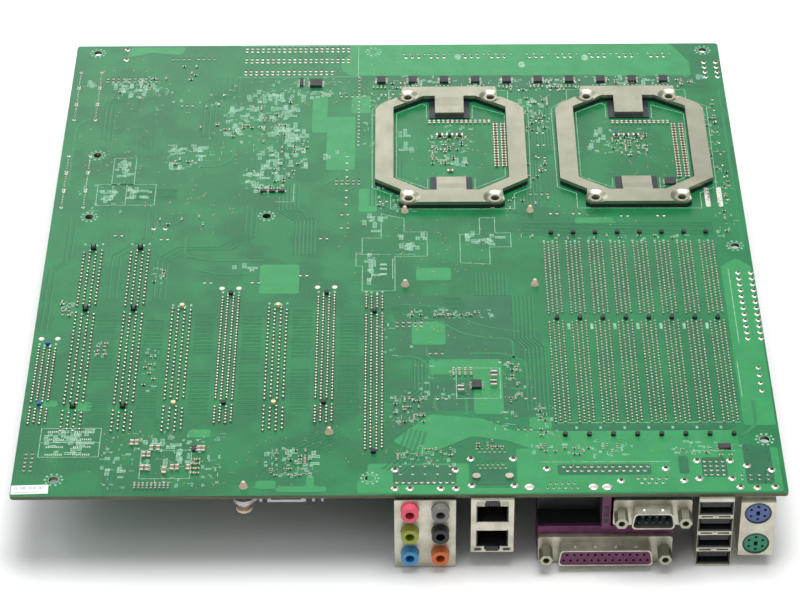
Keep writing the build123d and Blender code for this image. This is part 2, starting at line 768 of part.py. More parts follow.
def make_heatsinks():
    x, y = NORTHBRIDGE
    with BuildPart() as north:
        slab(x - 31.5, x + 31.5, y - 31.0, y + 31.0, 3.0, 5.6)
        discs(NORTHBRIDGE_PINS, PUSH_PIN_R + 0.25, 3.0, 5.6, Mode.SUBTRACT)
        fins(x - 23.0, x + 23.0, y - 31.0, y + 31.0, 5.6, STAND, 12, 1.3)
    save(north, "northbridge_heatsink")
    x, y = SOUTHBRIDGE
    with BuildPart() as south:
        slab(x - 20, x + 20, y - 20, y + 20, 2.8, 5.8)
        fins(x - 20, x + 20, y - 20, y + 20, 5.8, STAND, 11, 1.2)
    save(south, "southbridge_heatsink")
    x, y = BRIDGE_CHIP
    with BuildPart() as bridge:
        slab(x - 14.5, x + 14.5, y - 14.5, y + 14.5, 2.6, 4.6)
        (x0, y0), (x1, y1) = BRIDGE_PINS
        with BuildSketch(below(2.6)):
            with Locations(((x0 + x1) / 2, (y0 + y1) / 2)):
                SlotCenterToCenter(47.0, 8.4, rotation=45.2)
        extrude(amount=-2.0)
        discs(BRIDGE_PINS, PUSH_PIN_R + 0.25, 2.6, 4.6, Mode.SUBTRACT)
        slab(x - 7.25, x + 7.25, 3.4, y - 14.5, 3.4, 4.6)
        slab(x - 7.25, x - 5.9, 3.4, y - 14.5, 2.0, 3.4)
        slab(x + 5.9, x + 7.25, 3.4, y - 14.5, 2.0, 3.4)
        fins(x - 14.5, x + 14.5, y - 8.0, y + 8.0, 4.6, 13.5, 9, 1.1)
    save(bridge, "bridge_heatsink")


def make_push_pins():
    with BuildPart() as pins:
        for places, shoulder in ((NORTHBRIDGE_PINS, 5.6), (BRIDGE_PINS, 4.6)):
            discs(places, PUSH_PIN_R, -BOARD_T - 0.1, PIN_HEAD_DROP)
            discs(places, 3.4, shoulder, shoulder + 1.0)
            discs(places, 3.2, PIN_HEAD_DROP - 1.1, PIN_HEAD_DROP)
        for x, y in NORTHBRIDGE_PINS + BRIDGE_PINS:
            with Locations((LEFT + x, REAR + y, STAND + BOARD_T + 0.05)):
                Cone(1.75, 0.7, 2.6, align=(Align.CENTER, Align.CENTER, Align.MIN))
    save(pins, "push_pins")


# ---------------------------------------------------------------- power, drive and board connectors
def pin_block(x, y, nx, ny, pitch_x, pitch_y, wall, height):
    """Power header body with a square pocket for each pin."""
    w = (nx - 1) * pitch_x + 4.2
    d = (ny - 1) * pitch_y + 4.2
    slab(x - w / 2 - wall, x + w / 2 + wall, y - d / 2 - wall, y + d / 2 + wall, 0, height)
    with BuildSketch(below(3.0)) as pockets:
        with Locations((x, y)):
            with GridLocations(pitch_x, pitch_y, nx, ny):
                Rectangle(3.4, 3.4)
    extrude(pockets.sketch, amount=3.0 - height, mode=Mode.SUBTRACT)


ATX_X = 299.9


def make_power_connectors():
    with BuildPart() as power:
        pin_block(ATX_X, 122.4, 2, 12, 4.2, 4.2, 0.5, 12.8)
        pin_block(ATX_X, 306.6, 2, 4, 4.2, 4.2, 0.5, 12.8)
        pin_block(ATX_X, 90.2, 2, 2, 4.2, 4.2, 0.5, 12.8)
        slab(ATX_X - 4.2, ATX_X + 4.2, 61.0, 83.2, 0, 11.0)
        slab(ATX_X - 3.2, ATX_X + 3.2, 62.0, 82.2, 3.0, 11.0, Mode.SUBTRACT)
        with BuildSketch(below(3.0)):
            with Locations((ATX_X, 72.1)):
                with GridLocations(1, 5.08, 1, 4):
                    Circle(1.05)
        extrude(amount=-6.6)
    save(power, "power_connectors")


DRIVE_HEADERS = [(105.3, 325.2, 20), (105.3, 315.2, 20), (101.8, 305.4, 17)]  # centre and pins a row


def make_drive_connectors():
    with BuildPart() as drive:
        for x, y, per_row in DRIVE_HEADERS:
            half = per_row * 1.27 + 3.8
            slab(x - half, x + half, y - 4.4, y + 4.4, 0, 9.2)
            slab(x - half + 1.1, x + half - 1.1, y - 3.3, y + 3.3, 2.4, 9.2, Mode.SUBTRACT)
            slab(x - 2.2, x + 2.2, y - 4.4, y - 3.3, 2.4, 9.2, Mode.SUBTRACT)
            with BuildSketch(below(2.4)):
                with Locations((x, y)):
                    with GridLocations(2.54, 2.54, per_row, 2):
                        Rectangle(0.64, 0.64)
            extrude(amount=-6.0)
    save(drive, "drive_connectors")


SATA_PLACES = [(x, y) for x in (3.5, 13.2) for y in (252.6, 223.9, 205.2)]


def make_sata():
    with BuildPart() as sata:
        for x, y in SATA_PLACES:
            slab(x - 2.9, x + 2.9, y - 8.2, y + 8.2, 0, 8.6)
            slab(x - 1.8, x + 1.8, y - 7.0, y + 7.0, 2.6, 8.6, Mode.SUBTRACT)
            slab(x - 0.9, x + 0.5, y - 5.2, y + 5.2, 2.6, 7.6)
            slab(x - 0.9, x + 1.5, y - 5.2, y - 4.0, 2.6, 7.6)
    save(sata, "sata_connectors")


# board headers: centre, pins along x, pins along y
HEADERS = [
    (5.5, 21.0, 2, 5),
    (12.0, 122.0, 2, 4),
    (29.0, 93.5, 2, 3),
    (28.0, 300.0, 10, 2),
    (50.0, 318.0, 4, 1),
    (62.0, 318.0, 4, 1),
    (130.0, 285.0, 4, 1),
    (215.0, 205.0, 4, 1),
    (290.0, 205.0, 1, 4),
    (157.0, 110.0, 5, 2),
    (168.0, 90.0, 3, 1),
    (203.0, 40.0, 3, 1),
    (55.0, 278.0, 3, 1),
    (130.0, 215.0, 5, 2),
]


def make_headers():
    with BuildPart() as headers:
        for x, y, nx, ny in HEADERS:
            slab(x - nx * 1.27, x + nx * 1.27, y - ny * 1.27, y + ny * 1.27, 0, 2.5)
            with BuildSketch(below(2.5)):
                with Locations((x, y)):
                    with GridLocations(2.54, 2.54, nx, ny):
                        Rectangle(0.64, 0.64)
            extrude(amount=-6.0)
    save(headers, "pin_headers")


# ---------------------------------------------------------------- soldered parts
PHASES = 10
PHASE_PITCH = 14.65
PHASE_X = [144.8 + PHASE_PITCH * i for i in range(PHASES)]
# can places, diameter and height
LARGE_CANS = [(x, 299.0) for x in PHASE_X]
CAN_GROUPS = [
    (LARGE_CANS, 8.0, 14.0),
    ([(x + 7.3, 287.0) for x in PHASE_X[:2]] + [(x + 7.3, 290.0) for x in PHASE_X[3:8]], 8.0, 12.0),
    ([(217.4, 224.0), (217.4, 234.0), (217.4, 244.0), (217.4, 254.0), (217.4, 264.0)], 6.3, 11.0),
    ([(221.0, 190.0), (231.0, 190.0), (252.0, 188.0), (268.0, 188.0)], 6.3, 11.0),
    ([(129.0, 190.0), (129.0, 180.0), (120.0, 172.0)], 6.3, 11.0),
    ([(30.4, 175.0), (50.6, 172.0), (71.0, 140.0), (91.4, 140.0), (111.8, 145.0)], 6.3, 8.0),
    ([(160.0, 60.0), (170.0, 60.0), (206.0, 60.0), (196.0, 84.0)], 8.0, 12.0),
    ([(148.0, 215.0), (146.0, 200.0)], 6.3, 8.0),
]


def make_capacitors():
    with BuildPart() as cans:
        for places, diameter, height in CAN_GROUPS:
            discs(places, diameter / 2, 0, height)
    save(cans, "capacitors")


CHOKE_SIZE = 10.5
CHOKE_Y = 311.0


def make_inductors():
    with BuildPart() as chokes:
        half = CHOKE_SIZE / 2
        for x in PHASE_X:
            slab(x - half, x + half, CHOKE_Y - half, CHOKE_Y + half, 0, 8.0)
        slab(186.0, 196.0, 96.0, 106.0, 0, 6.0)
        slab(170.0, 180.0, 108.0, 118.0, 0, 6.0)
    save(chokes, "inductors")


# flat packages on the underside: centre, width, depth, height
PACKAGES = [
    (*NORTHBRIDGE, 42.5, 42.5, 3.0),
    (*SOUTHBRIDGE, 40.0, 40.0, 2.8),
    (*BRIDGE_CHIP, 27.0, 27.0, 2.6),
    (160.0, 34.0, 14.0, 14.0, 1.6),
    (189.0, 44.0, 17.0, 17.0, 1.8),
    (228.0, 24.5, 18.0, 5.4, 1.8),
    (32.0, 20.0, 9.0, 9.0, 1.6),
    (72.0, 22.0, 20.0, 14.0, 2.4),
    (120.0, 240.0, 17.0, 17.0, 1.8),
    (45.0, 232.0, 5.2, 8.0, 1.8),
    (118.0, 262.0, 8.0, 12.8, 1.6),
]


def make_chips():
    with BuildPart() as chips:
        for x, y, w, d, height in PACKAGES:
            slab(x - w / 2, x + w / 2, y - d / 2, y + d / 2, 0, height)
    save(chips, "chips")


# small packages on the solder side: centre, width, depth
TOP_PACKAGE_H = 1.4
TOP_PACKAGES = [(x, 298.0, 4.0, 4.8) for x in PHASE_X]
TOP_PACKAGES += [(184.3, 68.4, 4.0, 5.0), (114.3, 295.6, 5.6, 5.6)]


def make_driver_chips():
    with BuildPart() as drivers:
        with BuildSketch(SOLDER_FACE):
            for x, y, w, d in TOP_PACKAGES:
                with Locations((x, y)):
                    Rectangle(w, d)
        extrude(amount=TOP_PACKAGE_H)
    save(drivers, "driver_chips")


BATTERY = (56.0, 198.0)


def make_battery():
    with BuildPart() as holder:
        discs([BATTERY], 12.2, 0, 4.6)
        discs([BATTERY], 10.2, 1.0, 4.6, Mode.SUBTRACT)
        slab(BATTERY[0] - 5, BATTERY[0] + 5, BATTERY[1] + 9, BATTERY[1] + 12.4, 2.0, 4.6, Mode.SUBTRACT)
    save(holder, "battery_holder")
    with BuildPart() as cell:
        discs([BATTERY], 10.0, 1.0, 4.2)
    save(cell, "cmos_battery")


def main():
    os.makedirs("parts", exist_ok=True)
    make_pcb()
    make_insulators()
    make_sleeves()
    make_socket_frames()
    for number in (1, 2):
        make_backplate(number)
        make_cpu_socket(number)
        make_load_plate(number)
        make_load_lever(number)
    make_dimm_slots()
    for slot in range(DIMM_COUNT):
        make_dimm_latch(slot, -1, f"dimm_latch_{slot + 1}_rear")
        make_dimm_latch(slot, 1, f"dimm_latch_{slot + 1}_front")
    make_pci_slots()
    make_pcie_slots()
    for number in (1, 2, 3):
        make_pcie_clip(number)
    make_audio()
    make_lan()
    make_parallel_port()
    make_serial_port()
    make_jackscrews()
    make_usb()
    make_ps2()
    make_heatsinks()
    make_push_pins()
    make_power_connectors()
    make_drive_connectors()
    make_sata()
    make_headers()
    make_capacitors()
    make_inductors()
    make_chips()
    make_driver_chips()
    make_battery()


main()
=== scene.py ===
"""Looks of the server motherboard: solder side up, on a pale floor, lit by soft studio lights.

Lengths are millimetres on the board until at() turns them into metres in the row frame: x from the board's left
edge, y from its rear edge, z above the solder face. The underside is at z = -THICK.
"""

import math
import random

import bpy
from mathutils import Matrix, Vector


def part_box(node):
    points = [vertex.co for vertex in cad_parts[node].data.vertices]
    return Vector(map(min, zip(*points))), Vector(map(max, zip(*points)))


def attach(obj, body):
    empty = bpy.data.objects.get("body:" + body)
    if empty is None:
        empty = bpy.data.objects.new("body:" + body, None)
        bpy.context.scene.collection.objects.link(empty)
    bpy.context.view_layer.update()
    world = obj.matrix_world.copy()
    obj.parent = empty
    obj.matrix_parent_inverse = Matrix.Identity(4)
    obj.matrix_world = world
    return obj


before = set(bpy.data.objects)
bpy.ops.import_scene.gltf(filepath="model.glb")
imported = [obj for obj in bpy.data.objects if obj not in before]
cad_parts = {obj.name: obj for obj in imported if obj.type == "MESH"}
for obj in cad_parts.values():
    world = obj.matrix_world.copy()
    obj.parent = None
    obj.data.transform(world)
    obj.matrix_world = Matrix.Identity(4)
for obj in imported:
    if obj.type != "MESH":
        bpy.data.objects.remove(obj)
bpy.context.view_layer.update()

MM = 0.001
BOARD_LOW, BOARD_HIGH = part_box("pcb")
WIDTH, DEPTH, THICK = [(high - low) / MM for low, high in zip(BOARD_LOW, BOARD_HIGH)]
rng = random.Random(7)


def at(x, y, z=0.0):
    return (BOARD_LOW[0] + x * MM, BOARD_LOW[1] + y * MM, BOARD_HIGH[2] + z * MM)


def add(name, data):
    """A new object in the scene."""
    made = bpy.data.objects.new(name, data)
    bpy.context.scene.collection.objects.link(made)
    return made


# ---- materials
def colour(r, g, b):
    """Linear colour of an eight-bit screen colour."""
    return tuple((c / 255 / 12.92) if c <= 10 else ((c / 255 + 0.055) / 1.055) ** 2.4 for c in (r, g, b)) + (1.0,)


class Shader:
    """A node material, with short ways to add the usual nodes."""

    def __init__(self, name, rough=0.5, metal=0.0, specular=0.5):
        self.material = bpy.data.materials.new(name)
        self.material.use_nodes = True
        self.nodes = self.material.node_tree.nodes
        self.links = self.material.node_tree.links
        self.surface = self.nodes["Principled BSDF"]
        for socket, value in (("Roughness", rough), ("Metallic", metal), ("Specular IOR Level", specular)):
            self.surface.inputs[socket].default_value = value
        self.place = self.nodes.new("ShaderNodeTexCoord").outputs["Object"]

    def node(self, kind, **sockets):
        """A new node with its sockets fed. An underscore in a keyword is a space in the socket's name."""
        made = self.nodes.new("ShaderNode" + kind)
        for name, value in sockets.items():
            self.feed(made.inputs[name.replace("_", " ")], value)
        return made

    def feed(self, socket, value):
        if hasattr(value, "is_output"):
            self.links.new(value, socket)
        else:
            socket.default_value = value

    def noise(self, size_mm, detail=3.0, stretch=None):
        """Noise whose blobs are about size_mm across, or stretched along one axis."""
        place = self.place
        if stretch:
            place = self.node("Mapping", Vector=place, Scale=stretch).outputs["Vector"]
        return self.node("TexNoise", Vector=place, Scale=1000.0 / size_mm, Detail=detail).outputs["Fac"]

    def ramp(self, source, stops, smooth=True):
        """Colour by value: stops are (position, colour)."""
        node = self.node("ValToRGB", Fac=source)
        node.color_ramp.interpolation = "LINEAR" if smooth else "CONSTANT"
        while len(node.color_ramp.elements) < len(stops):
            node.color_ramp.elements.new(1.0)
        for element, (position, value) in zip(node.color_ramp.elements, stops):
            element.position = position
            element.color = value
        return node.outputs["Color"]

    def span(self, source, low, high, to_low=0.0, to_high=1.0):
        node = self.node("MapRange", Value=source, From_Min=low, From_Max=high, To_Min=to_low, To_Max=to_high)
        return node.outputs["Result"]

    def mix(self, factor, a, b):
        node = self.nodes.new("ShaderNodeMix")
        node.data_type = "RGBA"
        for name, value in (("Factor", factor), ("A", a), ("B", b)):
            self.feed([s for s in node.inputs if s.name == name and s.enabled][0], value)
        return [s for s in node.outputs if s.enabled][0]

    def multiply(self, a, b):
        node = self.nodes.new("ShaderNodeMath")
        node.operation = "MULTIPLY"
        self.feed(node.inputs[0], a)
        self.feed(node.inputs[1], b)
        return node.outputs[0]

    def axis(self, letter):
        return self.node("SeparateXYZ", Vector=self.place).outputs[letter]

    def paint(self, source):
        self.feed(self.surface.inputs["Base Color"], source)

    def grain(self, size_mm, smooth, dull, depth_mm, stretch=None, detail=3.0):
        """Fine noise in the roughness, between smooth and dull, and in the relief."""
        grainy = self.noise(size_mm, detail, stretch)
        self.feed(self.surface.inputs["Roughness"], self.span(grainy, 0.3, 0.7, smooth, dull))
        relief = self.node("Bump", Distance=depth_mm * MM, Height=grainy)
        self.feed(self.surface.inputs["Normal"], relief.outputs["Normal"])


def finish(name, main, other, blob, rough, metal, grain, depth, stretch=None):
    """A surface that drifts between two colours, with a fine grain in its gloss and relief."""
    shader = Shader(name, rough, metal)
    shader.paint(shader.ramp(shader.noise(blob), [(0.35, colour(*main)), (0.7, colour(*other))]))
    shader.grain(grain, rough - 0.08, rough + 0.1, depth, stretch)
    return shader.material


def solder_mask():
    """Green mask over laminate: slow drifts of tone on the faces, brown layered glass on the cut edges."""
    shader = Shader("solder_mask", rough=0.36, specular=0.45)
    broad = shader.ramp(shader.noise(60, 2), [(0.3, colour(6, 97, 54)), (0.7, colour(13, 116, 65))])
    planes = shader.noise(14, 1)
    toned = shader.mix(shader.span(planes, 0.45, 0.62, 0, 0.55), broad, colour(19, 128, 71))
    cells = shader.node("TexVoronoi", Vector=shader.place, Scale=30).outputs["Color"]
    wave = 2 * math.pi / 20 / (2.1 * MM)
    for way, low, high in (("X", 0.2, 0.42), ("Y", 0.42, 0.62), ("DIAGONAL", 0.8, 0.95)):
        lines = shader.node("TexWave", Vector=shader.place, Scale=wave, Distortion=7, Detail=1, Detail_Scale=0.25)
        lines.bands_direction = way
        under = shader.span(cells, high, high + 0.001, 1, 0)
        inside = shader.multiply(shader.span(cells, low, low + 0.001), under)
        etched = shader.multiply(inside, shader.span(lines.outputs["Fac"], 0.6, 0.95, 0, 0.05))
        toned = shader.mix(etched, toned, colour(66, 150, 100))
    fine = shader.mix(shader.span(shader.noise(0.9, 1), 0.35, 0.65, 0, 0.16), toned, colour(20, 80, 52))
    normal = shader.nodes.new("ShaderNodeNewGeometry").outputs["Normal"]
    upright = shader.node("SeparateXYZ", Vector=normal).outputs["Z"]
    glass = shader.noise(0.35, 2, stretch=(0.02, 0.02, 1))
    layers = shader.ramp(glass, [(0.35, colour(52, 66, 44)), (0.65, colour(96, 92, 58))])
    shader.paint(shader.mix(shader.span(shader.multiply(upright, upright), 0.2, 0.4), layers, fine))
    shader.grain(0.6, 0.30, 0.46, 0.012, detail=2)
    return shader.material


def by_place(name, axis, stops, rough=0.45):
    """Moulded plastic that changes colour along an axis: stops are (from this place in metres, colour)."""
    shader = Shader(name, rough)
    low, high = stops[0][0], stops[-1][0] + 0.001
    ramp = [((place - low) / (high - low), value) for place, value in stops]
    shader.paint(shader.ramp(shader.span(shader.axis(axis), low, high), ramp, smooth=False))
    shader.grain(0.3, rough - 0.08, rough + 0.1, 0.015)
    return shader.material


# name, main colour, other colour, size of the drifts, roughness, metal, grain, relief, stretch of the grain
FINISHES = {
    "pour": ("copper_pour", (40, 143, 81), (33, 133, 73), 9, 0.38, 0, 0.8, 0.01),
    "pour_deep": ("inner_plane", (20, 96, 60), (26, 104, 66), 9, 0.38, 0, 0.8, 0.01),
    "trace": ("trace_green", (24, 118, 70), (32, 128, 78), 3, 0.4, 0, 0.8, 0.01),
    "trace_dark": ("trace_gap", (8, 90, 54), (14, 98, 60), 3, 0.4, 0, 0.8, 0.01),
    "silk": ("silkscreen_ink", (158, 196, 172), (92, 156, 118), 1.2, 0.6, 0, 0.2, 0.01),
    "solder": ("solder", (238, 238, 226), (206, 204, 190), 0.8, 0.26, 0.6, 0.3, 0.02),
    # the next finish is painted shade: lead ends and fillets made dark as the shaded side of each joint
    "pin": ("joint_painted_shade", (96, 88, 72), (46, 42, 36), 0.7, 0.4, 0.5, 0.2, 0.02),
    "gold": ("bare_copper", (216, 160, 120), (180, 120, 90), 1, 0.35, 0.9, 0.3, 0.01),
    "cap_body": ("ceramic_body", (150, 118, 92), (118, 90, 70), 0.6, 0.45, 0, 0.2, 0.01),
    "res_body": ("resistor_body", (34, 34, 38), (52, 52, 56), 0.6, 0.4, 0, 0.2, 0.01),
    "black": ("black_moulding", (30, 32, 34), (42, 44, 46), 2, 0.5, 0, 0.25, 0.02),
    "chip": ("chip_epoxy", (40, 44, 46), (54, 58, 58), 1.5, 0.55, 0, 0.15, 0.02),
    "nickel": ("nickel_steel", (174, 173, 154), (158, 157, 139), 14, 0.36, 0.85, 0.4, 0.012, (1, 0.06, 1)),
    "tin": ("tinned_shell", (206, 202, 186), (176, 172, 156), 6, 0.34, 0.75, 0.35, 0.02),
    "insulator": ("insulator_film", (22, 30, 34), (34, 44, 48), 5, 0.42, 0, 0.5, 0.02),
    "cream": ("cream_moulding", (226, 208, 164), (206, 188, 146), 2, 0.45, 0, 0.3, 0.02),
    "white": ("white_moulding", (226, 222, 208), (208, 204, 190), 3, 0.45, 0, 0.3, 0.02),
    "nylon": ("nylon", (226, 206, 186), (200, 174, 150), 1.5, 0.4, 0, 0.3, 0.02),
    "burgundy": ("burgundy_moulding", (104, 40, 84), (84, 28, 66), 3, 0.5, 0, 0.3, 0.02),
    "teal": ("teal_moulding", (8, 56, 62), (6, 44, 50), 3, 0.5, 0, 0.3, 0.02),
    "blue": ("blue_moulding", (36, 84, 160), (28, 66, 132), 3, 0.45, 0, 0.3, 0.02),
    "alu": ("anodised_heatsink", (182, 184, 188), (160, 163, 168), 8, 0.38, 0.7, 0.5, 0.02, (1, 0.1, 1)),
    "can": ("capacitor_sleeve", (66, 52, 96), (50, 40, 76), 2, 0.35, 0, 0.3, 0.01),
    "ferrite": ("ferrite", (70, 70, 74), (56, 56, 60), 1.2, 0.6, 0, 0.25, 0.03),
    "cell": ("cell_steel", (200, 200, 198), (180, 180, 178), 6, 0.28, 1, 0.4, 0.01),
    "paper": ("paper_label", (236, 240, 236), (222, 228, 224), 2, 0.7, 0, 0.2, 0.01),
    "ink": ("label_ink", (140, 176, 200), (214, 170, 150), 1.5, 0.7, 0, 0.2, 0.01),
    "lens": ("light_window", (190, 190, 170), (170, 172, 150), 1, 0.2, 0, 0.3, 0.01),
}
M = {"mask": solder_mask()}
for key, row in FINISHES.items():
    M[key] = finish(*row)


# ---- mesh helpers
def ring(x, y, radius, z, sides):
    angles = [i * (2 * math.pi / sides) for i in range(sides)]
    return [(x + radius * math.cos(a), y + radius * math.sin(a), z) for a in angles]


def oblong(x, y, w, d, z, turn=0.0):
    c, s = math.cos(turn), math.sin(turn)
    corners = ((-w / 2, -d / 2), (w / 2, -d / 2), (w / 2, d / 2), (-w / 2, d / 2))
    return [(x + c * a - s * b, y + s * a + c * b, z) for a, b in corners]


def box(x0, y0, x1, y1):
    return [(x0, y0), (x1, y0), (x1, y1), (x0, y1)]


def rounded(outline, radius, steps=4):
    """The outline with an arc at each corner."""
    made = []
    for i, corner in enumerate(outline):
        here, before, after = Vector(corner), Vector(outline[i - 1]), Vector(outline[(i + 1) % len(outline)])
        a, b = before - here, after - here
        reach = min(radius, a.length * 0.45, b.length * 0.45)
        start, end = here + a.normalized() * reach, here + b.normalized() * reach
        for k in range(steps + 1):
            t = k / steps
            made.append(tuple(start * (1 - t) ** 2 + here * 2 * t * (1 - t) + end * t * t))
    return made


class Pile:
    """Many small solids of one finish in one mesh. Places are millimetres on the board."""

    def __init__(self):
        self.points = []
        self.faces = []

    def shell(self, loops, wrap=False):
        """A closed skin through equal loops that run anticlockwise seen from the last one."""
        first, n, count = len(self.points), len(loops[0]), len(loops)
        for loop in loops:
            self.points.extend(at(*point) for point in loop)
        for k in range(count if wrap else count - 1):
            a, b = first + k * n, first + (k + 1) % count * n
            for i in range(n):
                j = (i + 1) % n
                self.faces.append((a + i, a + j, b + j, b + i))
        if not wrap:
            self.faces.append(tuple(first + i for i in reversed(range(n))))
            self.faces.append(tuple(first + (count - 1) * n + i for i in range(n)))

    def prism(self, outline, low, high):
        turning = sum(a[0] * b[1] - b[0] * a[1] for a, b in zip(outline, outline[1:] + outline[:1]))
        outline = outline if turning > 0 else outline[::-1]
        self.shell([[(x, y, low) for x, y in outline], [(x, y, high) for x, y in outline]])

    def block(self, x, y, w, d, low, high, edge=0.0, turn=0.0):
        """A block whose upper edges are cut back."""
        loops = [oblong(x, y, w, d, low, turn), oblong(x, y, w, d, high - edge, turn)]
        if edge:
            loops.append(oblong(x, y, w - 2 * edge, d - 2 * edge, high, turn))
        self.shell(loops)

    def hung(self, x, y, w, d, drop0, drop1, edge=0.0):
        """A block hanging under the board, given by its drops below the underside."""
        foot = oblong(x, y, w - 2 * edge, d - 2 * edge, -THICK - drop1)
        self.shell([foot, oblong(x, y, w, d, -THICK - drop1 + edge), oblong(x, y, w, d, -THICK - drop0)])

    def turned(self, x, y, profile, sides=8):
        """A round solid: profile lists (radius, height) from its foot to its top."""
        self.shell([ring(x, y, radius, z, sides) for radius, z in profile])

    def annulus(self, x, y, inner, outer, low, high, sides):
        section = ((inner, high), (outer, high), (outer, low), (inner, low))
        rings = [ring(x, y, radius, z, sides) for radius, z in section]
        self.shell(list(zip(*rings)), wrap=True)

    def strip(self, places, width, low, high, closed=False):
        """A flat strip along a line with mitred corners."""
        line = [Vector(p) for p in places]
        count = len(line)
        loops = []
        for i, p in enumerate(line):
            before = line[i - 1] if i or closed else None
            after = line[(i + 1) % count] if i < count - 1 or closed else None
            ways = [(p - before).normalized()] if before else []
            ways += [(after - p).normalized()] if after else []
            sides = [Vector((-w.y, w.x)) for w in ways]
            out = sides[0] if len(sides) == 1 else (sides[0] + sides[1]) / max(1 + sides[0].dot(sides[1]), 0.35)
            a, b = p + out * width / 2, p - out * width / 2
            loops.append([(a.x, a.y, low), (b.x, b.y, low), (b.x, b.y, high), (a.x, a.y, high)])
        self.shell(loops, wrap=closed)

    def make(self, name, finish_name, body="board", smooth=False):
        mesh = bpy.data.meshes.new(name)
        mesh.from_pydata(self.points, [], self.faces)
        mesh.validate()
        mesh.update()
        for face in mesh.polygons:
            face.use_smooth = smooth
        mesh.materials.append(M[finish_name])
        piece = add(name, mesh)
        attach(piece, body)


def islands(node):
    """Board rectangles (x0, y0, x1, y1) of the separate solids of a CAD node, with their lowest and highest z."""
    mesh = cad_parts[node].data
    lead = list(range(len(mesh.vertices)))
    welded = {}

    def find(i):
        while lead[i] != i:
            lead[i] = lead[lead[i]]
            i = lead[i]
        return i

    for v in mesh.vertices:
        key = tuple(round(c * 50000) for c in v.co)
        lead[find(v.index)] = find(welded.setdefault(key, v.index))
    for edge in mesh.edges:
        lead[find(edge.vertices[0])] = find(edge.vertices[1])
    boxes, corner = {}, at(0, 0)
    for v in mesh.vertices:
        p = [(v.co[k] - corner[k]) / MM for k in range(3)]
        low, high = boxes.setdefault(find(v.index), (list(p), list(p)))
        for k in range(3):
            low[k], high[k] = min(low[k], p[k]), max(high[k], p[k])
    return list(boxes.values())


def middle(low, high):
    return (low[0] + high[0]) / 2, (low[1] + high[1]) / 2


# ---- places on the solder side, mm
CPUS = ((176.2, 240), (258.8, 240))
DIMM_X = [219.0 + 9.65 * i for i in range(8)]
DIMM_COLUMNS = (-3.3, -1.4, 0.5, 2.4)
SLOT_PITCH = 20.32
PHASE_X = [144.8 + 14.65 * i for i in range(10)]
HOLES = [
    (16.51, 10.16), (140.97, 10.16), (298.45, 33.02), (298.45, 165.1), (16.51, 189.23), (94.6, 189.23),
    (16.51, 237.49), (10.16, 323.85), (140.97, 323.85), (297.2, 323.85),
]
# fields of slot pins: middle x, offsets of the outer and inner columns, first and last y, pitch, y of the pegs
SLOT_FIELDS = [(6.45, 3.4, 1.2, 45, 95.5, 2, (57.4, 97.6))]
SLOT_FIELDS += [(SLOT_PITCH * n, *field) for n, field in enumerate((
    (3.8, 1.3, 40, 166.5, 2.54, (55.5, 121, 165)), (3.8, 1.3, 40, 166.5, 2.54, (55.5, 121, 165)),
    (3.8, 1.3, 40, 122, 2.54, (57.5, 123.2)), (3.4, 1.2, 45, 131, 2, (57.6, 132)),
    (3.8, 1.3, 40, 123, 2.54, (57.5, 123.2)), (3.4, 1.2, 45, 131, 2, (57.6, 132)),
    (3.4, 1.2, 28, 131, 2, (26.2, 118.7)),
), 1)]
# tops of the flat layers on the solder face: no two that cross lie at one height
PLANE_TOP, POUR_TOP, SHADE_TOP, GAP_TOP, LOOP_TOP, TRACE_TOP = 0.01, 0.02, 0.046, 0.058, 0.064, 0.066
INK_FOOT, OUTLINE_TOP, LABEL_TOP, BAR_TOP, INK_TOP = 0.03, 0.085, 0.088, 0.0895, 0.09


# ---- leads that come through the board
# bright solder goes in the first pile; lead ends and fillets painted dark as shade go in the second
leads, joint_shade = Pile(), Pile()


def joint(x, y, radius=0.8, rise=0.7):
    """One soldered lead: a fillet of solder round it, and the cut end of the lead, painted dark as shade."""
    fillet = ((1, 0), (0.94, 0.1), (0.5, 0.45 * rise), (0.4, 0.5 * rise))
    leads.turned(x, y, [(radius * part, height) for part, height in fillet], 8)
    joint_shade.turned(x, y, [(radius * 0.44, 0.2), (radius * 0.42, rise), (radius * 0.2, rise + 0.15)], 6)


def pin(x, y, radius, rise):
    """One thin lead of a dense field: a fillet painted dark as the joint's shaded side, and a bright cut end that
    stands clear of it.
    """
    joint_shade.turned(x, y, [(radius, 0), (radius * 0.9, 0.1), (radius * 0.68, 0.2)], 8)
    leads.turned(x, y, [(radius * 0.66, 0.1), (radius * 0.66, rise), (radius * 0.4, rise + 0.15)], 6)


def joint_fields(fields):
    """Grids of joints: first place, step in x and y, columns, rows, radius and perhaps the height."""
    for x0, y0, step_x, step_y, columns, rows, *size in fields:
        for i in range(columns):
            for j in range(rows):
                joint(x0 + i * step_x, y0 + j * step_y, *size)


def slot_joints():
    for mid_x, outer, inner, first, last, pitch, pegs in SLOT_FIELDS:
        for k, dx in enumerate((-outer, -inner, inner, outer)):
            y = first + (k % 2) * pitch / 2
            while y < last:
                if all(abs(y - peg) > 1.6 for peg in pegs):
                    pin(mid_x + dx, y, 0.72, 0.7)
                y += pitch


def dimm_joints():
    for x in DIMM_X:
        for k, dx in enumerate(DIMM_COLUMNS):
            for first, count in ((44.3, 34), (116.9, 26)):
                for n in range(count):
                    pin(x + dx, first + (k % 2) + 2.0 * n, 0.6, 0.6)


